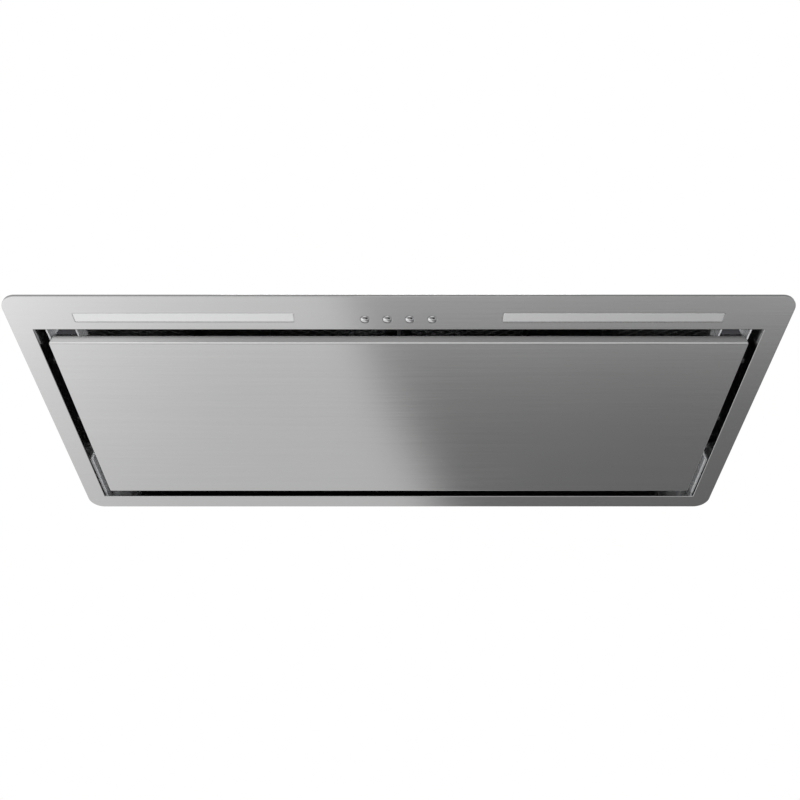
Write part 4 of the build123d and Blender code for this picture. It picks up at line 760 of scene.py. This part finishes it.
def bead(s, place, ca, cb, length, width=12.0, h=2.2, turn=0.0):
    """Pressed stiffening bead with a rounded section and round ends."""
    prof = [(0.0, -0.05)]
    for k in range(1, 8):
        t = k / 7.0
        prof.append((t * width * 0.40, h * (0.5 - 0.5 * math.cos(math.pi * t))))
    pad(s, place, ca, cb, length, width, prof, turn=turn, n=7)


def loop_bead(s, place, a0, a1, b0, b1, r, width=9.0, h=1.9):
    """The same bead run round in a rectangle."""
    rings = []
    for k in range(9):
        t = k / 8.0
        d = t * width
        rings.append([place(x, y, h * 0.5 * (1.0 - math.cos(2.0 * math.pi * t)) - (0.05 if k in (0, 8) else 0.0))
                      for x, y, _ in rrect(a0 + d, a1 - d, b0 + d, b1 - d, max(r - d, 1.0), 0.0, 7)])
    made = s.loft(rings)
    s.bridge(made[-1], made[0])


def lathe(s, place, ca, cb, prof, n=20):
    """Round detail; profile is a list of (radius, height), closed at both ends."""
    made = s.loft([[place(ca + r * math.cos(2 * math.pi * i / n), cb + r * math.sin(2 * math.pi * i / n), h) for i in range(n)] for r, h in prof])
    s.cap(made[-1])
    s.cap(made[0], True)


LAP = [(0.0, -0.05), (0.0, 0.62), (0.12, 0.84), (0.34, 0.92)]
SPOT = [(2.9, -0.05), (2.75, 0.10), (2.35, 0.16), (1.9, 0.07), (1.0, 0.03)]
RIVET = [(3.3, -0.05), (3.3, 0.22), (3.1, 0.62), (2.5, 0.98), (1.7, 1.14), (1.15, 1.12), (0.95, 0.9), (0.9, 0.35)]

WALLS = {
    "low_front": face_map((0, -135.0, 0), (1, 0, 0), (0, 0, 1), (0, -1, 0)),
    "low_rear": face_map((0, 132.4, 0), (-1, 0, 0), (0, 0, 1), (0, 1, 0)),
    "low_left": face_map((-331.5, 0, 0), (0, -1, 0), (0, 0, 1), (-1, 0, 0)),
    "low_right": face_map((331.5, 0, 0), (0, 1, 0), (0, 0, 1), (1, 0, 0)),
    "low_top": face_map((0, 0, 96.0), (1, 0, 0), (0, 1, 0), (0, 0, 1)),
    "box_front": face_map((0, -118.0, 0), (1, 0, 0), (0, 0, 1), (0, -1, 0)),
    "box_rear": face_map((0, 124.0, 0), (-1, 0, 0), (0, 0, 1), (0, 1, 0)),
    "box_left": face_map((-172.0, 0, 0), (0, -1, 0), (0, 0, 1), (-1, 0, 0)),
    "box_right": face_map((172.0, 0, 0), (0, 1, 0), (0, 0, 1), (1, 0, 0)),
    "box_top": face_map((0, 0, 265.0), (1, 0, 0), (0, 1, 0), (0, 0, 1)),
}

s = Shape()
for wall in ("low_front", "low_rear"):
    for a in (-165.0, 165.0):
        for b in (44.0, 70.0):
            bead(s, WALLS[wall], a, b, 262.0)
for wall in ("low_left", "low_right"):
    for b in (44.0, 70.0):
        bead(s, WALLS[wall], 0.0, b, 118.0)
top = WALLS["low_top"]
loop_bead(s, top, -320.0, -200.0, -122.0, 119.0, 16.0)
for a in (-283.0, -260.0, -237.0):
    bead(s, top, a, -1.5, 176.0, turn=90.0)
for b in (-112.0, -92.0, -72.0):
    bead(s, top, 250.0, b, 112.0)
bead(s, top, 232.0, 104.0, 76.0)
bead(s, top, 317.0, 4.0, 196.0, width=9.0, h=1.8, turn=90.0)
s.done("lower_casing_beads", M["galv"], "hood", "galvanised", (), angle=60)

s = Shape()
for wall, cols in (("box_front", (-110.0, -66.0, -22.0, 22.0, 66.0, 110.0)), ("box_rear", (-110.0, -66.0, -22.0, 22.0, 66.0, 110.0))):
    loop_bead(s, WALLS[wall], -146.0, 146.0, 113.0, 249.0, 18.0)
    for a in cols:
        bead(s, WALLS[wall], a, 181.0, 98.0, width=13.0, h=2.4, turn=90.0)
loop_bead(s, WALLS["box_left"], -106.0, 100.0, 113.0, 249.0, 18.0)
for a in (-69.0, -25.0, 19.0, 63.0):
    bead(s, WALLS["box_left"], a, 181.0, 98.0, width=13.0, h=2.4, turn=90.0)
for b in (166.0, 194.0, 222.0, 248.0):
    bead(s, WALLS["box_right"], 3.0, b, 190.0 if b < 240 else 150.0)
top = WALLS["box_top"]
for q in (-1, 1):
    loop_bead(s, top, *(sorted((q * 154.0, q * 100.0))), -100.0, 106.0, 13.0, width=8.0, h=1.7)
    bead(s, top, q * 127.0, 3.0, 150.0, width=11.0, h=1.9, turn=90.0)
for b in (78.0, 100.0):
    bead(s, top, 0.0, b, 150.0, width=11.0, h=1.9)
s.done("motor_casing_beads", M["galv"], "hood", "galvanised", (), angle=60)

# lapped corner seams with their spot welds and rivets
s, spots, rivets = Shape(), Shape(), Shape()
for wall, half in (("low_front", 331.5), ("low_rear", 331.5)):
    for q in (-1, 1):
        pad(s, WALLS[wall], q * (half - 8.3), 52.0, 14.0, 86.0, LAP, r=1.6, n=3)
        for b in (18.0, 40.0, 64.0, 86.0):
            lathe(spots, face_map((0, -135.92 if wall == "low_front" else 133.32, 0), (1, 0, 0), (0, 0, 1), (0, -1 if wall == "low_front" else 1, 0)), q * (half - 8.3), b, SPOT)
for wall, half, y in (("box_front", 172.0, -118.92), ("box_rear", 172.0, 124.92)):
    for q in (-1, 1):
        pad(s, WALLS[wall], q * (half - 8.3), 182.0, 14.0, 160.0, LAP, r=1.6, n=3)
        for b in (112.0, 140.0, 168.0, 196.0, 224.0, 252.0):
            out = -1 if wall == "box_front" else 1
            target = rivets if b in (112.0, 252.0) else spots
            lathe(target, face_map((0, y, 0), (1, 0, 0), (0, 0, 1), (0, out, 0)), q * (half - 8.3), b, RIVET if target is rivets else SPOT)
for q in (-1, 1):
    for b in (-128.0, 126.0):
        lathe(rivets, WALLS["low_top"], q * 321.0, b, RIVET)
s.done("casing_lap_seams", M["galv"], "hood", "galvanised", (), angle=40)
spots.done("spot_welds", M["weld"], "hood", "galvanised", (), angle=60)
rivets.done("casing_rivets", M["screw"], "hood", "screw_steel", (), angle=40)

# duct spigot: low grip rings and lip that a duct still slides over, and a ribbed rim that its end stands in
s = Shape()
CY = -28.0


def ringed(s, prof, n=96):
    made = s.loft([circle(0.0, CY, r, z, n) for r, z in prof])
    s.bridge(made[-1], made[0])


for z in (276.0, 283.0, 290.0, 297.0, 304.0):
    ringed(s, [(74.3, z - 1.1), (74.66, z - 0.8), (74.78, z), (74.66, z + 0.8), (74.3, z + 1.1)])
ringed(s, [(74.3, 313.6), (74.65, 314.0), (74.78, 314.9), (74.78, 316.6), (74.6, 317.5), (74.3, 317.9), (74.0, 317.6)])
ringed(s, [(79.2, 267.9), (79.3, 271.3), (79.5, 271.8), (80.0, 272.0), (80.6, 271.8), (80.9, 271.3), (81.1, 267.9)])
for k in range(24):
    a = math.radians(7.5 + 15.0 * k)
    ca, sa = math.cos(a), math.sin(a)
    far = min(88.0, 84.6 / max(abs(ca), abs(sa)))
    put = lambda r, w, z: (r * ca - w * sa, CY + r * sa + w * ca, z)
    prof = [(80.6, 267.9), (far, 267.9), (far - 0.3, 268.5), (far - 1.2, 269.3), (82.4, 270.6), (80.6, 271.1)]
    made = s.loft([[put(r + e * (83.0 - r) * 0.06, w, z - e * 0.2 if z > 268.2 else z) for r, z in prof] for w, e in ((-1.1, 1.0), (-0.85, 0.0), (0.85, 0.0), (1.1, 1.0))])
    s.cap(made[0])
    s.cap(made[-1], True)
s.done("spigot_ribs", M["black"], "hood", "black_plastic", (), angle=40)

# suction panel's inner tray: a bead all round and short ones across, between the two long grooves
s = Shape()
tray = face_map((0, 0, 3.0), (1, 0, 0), (0, 1, 0), (0, 0, 1))
loop_bead(s, tray, -288.0, 288.0, -84.0, 102.0, 14.0, width=8.0, h=1.4)
for a in range(9):
    bead(s, tray, -240.0 + 60.0 * a, 7.5, 74.0, width=11.0, h=1.6, turn=90.0)
s.done("panel_tray_beads", M["galv_tray"], "panel", "galvanised", (), angle=60)

# electrical box: ribs on its walls and on its cover
s = Shape()
RIB = [(0.0, -0.05), (0.08, 0.5), (0.35, 0.76), (0.7, 0.8)]
for a in range(8):
    pad(s, face_map((300.0, 0, 0), (0, 1, 0), (0, 0, 1), (1, 0, 0)), -39.0 + 12.6 * a, 115.5, 2.6, 35.0, RIB, r=1.2, n=3)
    pad(s, face_map((0, -50.0, 0), (1, 0, 0), (0, 0, 1), (0, -1, 0)), 201.0 + 12.6 * a, 115.5, 2.6, 35.0, RIB, r=1.2, n=3)
s.done("electrical_box_ribs", M["white"], "hood", "white_plastic", (), angle=50)
s = Shape()
lid = face_map((0, 0, 142.0), (1, 0, 0), (0, 1, 0), (0, 0, 1))
loop_bead(s, lid, 208.0, 282.0, -36.0, 46.0, 7.0, width=5.0, h=1.0)
for a in range(6):
    pad(s, lid, 220.0 + 10.0 * a, 5.0, 3.4, 58.0, [(0.0, -0.05), (0.1, 0.45), (0.5, 0.85), (1.0, 0.95)], r=1.6, n=4)
s.done("box_cover_ribs", M["white"], "hood", "white_plastic", (), angle=50)

# ------------------------------------------------------------- floor, lights
FLOOR_Z = -0.74


def floor():
    n = 96
    bm = bmesh.new()
    centre = bm.verts.new((0, 0, FLOOR_Z))
    prev = None
    for k, r in enumerate((0.4, 0.8, 1.3, 2.0, 3.0, 4.5, 6.5)):
        ring = [bm.verts.new((r * math.cos(2 * math.pi * i / n), r * math.sin(2 * math.pi * i / n), FLOOR_Z)) for i in range(n)]
        for i in range(n):
            j = (i + 1) % n
            if prev is None:
                bm.faces.new((centre, ring[i], ring[j]))
            else:
                bm.faces.new((prev[i], ring[i], ring[j], prev[j]))
        prev = ring
    mesh = bpy.data.meshes.new("studio_floor")
    bm.to_mesh(mesh)
    bm.free()
    m, g, p = material("studio_floor", rough=0.7, base=(0.86, 0.86, 0.855))
    o = g.obj()
    x, y, z = g.xyz(o)
    r = g.math("SQRT", g.add(g.mul(x, x), g.mul(y, y)))
    n1 = g.noise(o, 3.0, 4.0, 0.5)
    g.put(g.mixc(g.mul(n1, 0.25), (0.63, 0.63, 0.625), (0.59, 0.59, 0.585)), p.inputs["Base Color"])
    tr = g.node("ShaderNodeBsdfTransparent")
    mixs = g.node("ShaderNodeMixShader")
    g.put(g.step(r, 1.6, 5.4), mixs.inputs[0])
    g.l.new(p.outputs[0], mixs.inputs[1])
    g.l.new(tr.outputs[0], mixs.inputs[2])
    out = [x for x in g.n if x.bl_idname == "ShaderNodeOutputMaterial"][0]
    g.l.new(mixs.outputs[0], out.inputs[0])
    mesh.materials.append(m)
    ob = bpy.data.objects.new("studio_floor", mesh)
    SC.collection.objects.link(ob)
    ob.visible_glossy = False
    return ob


floor()


def cabinet_underside():
    """The white underside of the cabinet that the flange closes against; it shows only to a view from below."""
    s = Shape()
    inner = s.ring(rrect(-344.0, 344.0, -144.0, 144.0, 10.0, 0.5, 6))
    outer = s.ring(rrect(-2600.0, 2600.0, -2600.0, 2600.0, 10.0, 0.5, 6))
    s.bridge(inner, outer)
    for f in s.bm.faces:
        f.normal_update()
        if f.normal.z > 0:
            f.normal_flip()
    mesh = bpy.data.meshes.new("cabinet_underside")
    s.bm.to_mesh(mesh)
    s.bm.free()
    m = bpy.data.materials.new("cabinet_underside")
    m.use_nodes = True
    m.node_tree.nodes.clear()
    g = Graph(m.node_tree)
    out = g.node("ShaderNodeOutputMaterial")
    em = g.node("ShaderNodeEmission")
    em.inputs[0].default_value = (1.0, 1.0, 1.0, 1.0)
    tr = g.node("ShaderNodeBsdfTransparent")
    mixs = g.node("ShaderNodeMixShader")
    g.l.new(g.node("ShaderNodeNewGeometry").outputs["Backfacing"], mixs.inputs[0])
    g.l.new(em.outputs[0], mixs.inputs[1])
    g.l.new(tr.outputs[0], mixs.inputs[2])
    g.l.new(mixs.outputs[0], out.inputs[0])
    mesh.materials.append(m)
    ob = bpy.data.objects.new("cabinet_underside", mesh)
    SC.collection.objects.link(ob)
    ob.visible_glossy = False
    ob.visible_diffuse = False
    ob.visible_transmission = False
    ob.visible_volume_scatter = False
    ob.visible_shadow = False


cabinet_underside()


def area(name, loc, target, size, size_y, power, glossy=True, spread=180.0):
    light = bpy.data.lights.new(name, "AREA")
    light.spread = math.radians(spread)
    light.shape = "RECTANGLE"
    light.size, light.size_y = size, size_y
    light.energy = power
    o = bpy.data.objects.new(name, light)
    SC.collection.objects.link(o)
    o.location = loc
    d = Vector(target) - Vector(loc)
    o.rotation_mode = "QUATERNION"
    o.rotation_quaternion = d.to_track_quat("-Z", "Y")
    o.visible_glossy = glossy
    o.visible_camera = False
    return o


area("key_softbox", (-2.7, -1.2, 1.5), (0, 0, 0.1), 1.5, 1.8, 70.0, glossy=False)
area("fill_softbox", (2.2, -0.9, 1.7), (0, 0, 0.1), 1.6, 1.2, 12.0, glossy=False)
area("rear_softbox", (0.6, 2.3, 1.8), (0, 0, 0.1), 2.0, 1.0, 26.0)
area("top_softbox", (0.0, 0.1, 2.6), (0, 0, 0.1), 1.6, 1.0, 26.0)
area("front_low_softbox", (0.0, -0.665, -0.668), (0, -0.1, 0.0), 0.6, 0.10, 5.5, glossy=False, spread=100.0)


def world():
    w = bpy.data.worlds.new("studio")
    SC.world = w
    w.use_nodes = True
    w.node_tree.nodes.clear()
    g = Graph(w.node_tree)
    out = g.node("ShaderNodeOutputWorld")
    bg = g.node("ShaderNodeBackground")
    g.l.new(bg.outputs[0], out.inputs[0])
    d = g.node("ShaderNodeTexCoord").outputs["Generated"]
    x, y, z = g.xyz(d)
    nz = g.mul(z, -1.0)
    ny = g.mul(y, -1.0)
    hyp = g.math("SQRT", g.math("MAXIMUM", g.add(g.mul(y, y), g.mul(z, z)), 0.0001))
    cc = g.math("DIVIDE", x, hyp)
    rr = g.math("DIVIDE", nz, hyp)
    # behind and below: a bright panel to the left of a slanted edge, a dim one to the right
    xc = g.mad(rr, -0.658, 0.4506)
    xc = g.sub(xc, g.mul(g.sub(1.0, g.step(rr, 0.598, 0.612)), 0.016))
    xc = g.sub(xc, g.mul(g.step(rr, 0.83, 0.93), 0.28))
    u = g.math("DIVIDE", g.sub(cc, xc), g.mad(g.sub(rr, 0.793), -0.05, 0.03))
    t = g.step(u, -1.0, 1.0)
    left = g.ramp(rr, [(0.0, 0.72), (0.5, 0.68), (0.61, 0.655), (0.642, 0.655), (0.68, 0.665), (0.717, 0.668), (0.752, 0.705), (0.77, 0.76), (0.793, 0.84), (0.865, 0.84), (0.925, 0.52), (1.0, 0.44)])
    right = g.ramp(rr, [(0.0, 0.25), (0.45, 0.20), (0.61, 0.185), (0.642, 0.193), (0.68, 0.217), (0.717, 0.24), (0.752, 0.31), (0.77, 0.375), (0.793, 0.535), (0.86, 0.53), (0.92, 0.30), (1.0, 0.24)])
    west = g.math("MAXIMUM", g.sub(-0.14, cc), 0.0)
    west = g.math("MINIMUM", west, 0.4)
    west = g.mul(west, g.mul(g.mix(g.step(rr, 0.60, 0.68), 0.55, 1.0), g.sub(1.0, g.step(rr, 0.86, 0.92))))
    left = g.mul(left, g.add(1.0, g.mul(west, g.mad(west, 2.5, 0.2))))
    right = g.mul(right, g.sub(1.0, g.mul(g.math("MAXIMUM", g.sub(cc, 0.128), 0.0), g.mix(g.step(rr, 0.77, 0.79), 0.42, 0.16))))
    a = g.mix(t, left, right)
    wa = g.mul(g.mul(g.step(y, -0.30, -0.12), g.step(nz, -0.05, 0.12)), g.sub(1.0, g.step(x, 0.52, 0.66)))
    wa = g.mul(wa, g.sub(1.0, g.step(g.mul(x, -1.0), 0.80, 0.95)))
    # in front and below: the strip that the front folds catch
    b = g.mix(g.step(x, -0.42, 0.10), 1.65, 1.15)
    wb = g.mul(g.step(ny, 0.28, 0.44), g.step(nz, 0.44, 0.58))
    # a dark flag below and to the right
    fx, fy = g.sub(x, 0.26), g.sub(y, 0.26)
    flag = g.sub(1.0, g.step(g.math("SQRT", g.add(g.mul(fx, fx), g.mul(fy, fy))), 0.17, 0.28))
    flag = g.mul(flag, g.step(nz, 0.5, 0.65))
    # in front, just below the horizon: what the panel's front wall catches
    f = g.ramp(g.lin(x, -0.5, 0.5), [(0.05, 0.80), (0.12, 0.66), (0.151, 0.53), (0.251, 0.40), (0.5, 0.365), (0.55, 0.35), (0.59, 0.29), (0.95, 0.265)])
    wf = g.mul(g.mul(g.step(ny, 0.5, 0.75), g.step(nz, -0.02, 0.10)), g.sub(1.0, g.step(nz, 0.46, 0.58)))
    # in front and above, drawn on past both ends for the flange's round corners
    c = g.mix(g.step(x, -0.5, 0.45), 0.42, 0.25)
    ends = g.mul(g.step(g.math("ABSOLUTE", x), 0.38, 0.50), g.sub(1.0, g.step(y, 0.60, 0.85)))
    wc = g.mul(g.mul(g.math("MAXIMUM", g.step(ny, 0.1, 0.4), ends), g.step(z, 0.42, 0.6)), g.sub(1.0, g.step(z, 0.84, 0.95)))
    dome = g.ramp(g.lin(z, -1.0, 1.0), [(0.0, 0.55), (0.3, 0.50), (0.42, 0.50), (0.5, 0.52), (0.6, 0.62), (0.78, 0.80), (1.0, 0.95)])
    side = g.mul(g.mix(g.step(x, -0.9, 0.9), 1.25, 0.72), g.mix(g.step(y, -0.9, 0.9), 1.08, 0.92))
    v = g.mul(dome, side)
    v = g.mix(wc, v, c)
    v = g.mix(wf, v, f)
    v = g.mix(wb, v, b)
    v = g.mix(wa, v, a)
    v = g.mix(flag, v, 0.03)
    lp = g.node("ShaderNodeLightPath")
    diffuse = g.ramp(g.lin(z, -1.0, 1.0), [(0.0, 0.50), (0.5, 0.62), (1.0, 0.85)])
    v = g.mix(lp.outputs["Is Diffuse Ray"], v, diffuse)
    # little of what has bounced about inside the housing comes back out
    v = g.mul(v, g.mix(g.math("GREATER_THAN", lp.outputs["Ray Depth"], 2.5), 1.0, 0.12))
    v = g.mix(lp.outputs["Is Camera Ray"], v, 1.0)
    comb = g.node("ShaderNodeCombineColor")
    for i in range(3):
        g.put(v, comb.inputs[i])
    g.l.new(comb.outputs[0], bg.inputs[0])
    w.cycles.sampling_method = "NONE"


world()

# -------------------------------------------------------------------- camera
cam = bpy.data.cameras.new("camera")
cam.lens = 35.0
cam.sensor_width = 36.0
cam.sensor_fit = "AUTO"
cam.clip_start, cam.clip_end = 0.02, 60.0
camera = bpy.data.objects.new("camera", cam)
SC.collection.objects.link(camera)
camera.location = (0.0012, -0.5616, -0.5443)
camera.rotation_euler = (math.radians(135.1), 0.0, 0.0)
SC.camera = camera

SC.view_settings.view_transform = "Standard"
SC.view_settings.look = "None"
SC.view_settings.exposure = 0.0
SC.view_settings.gamma = 1.0
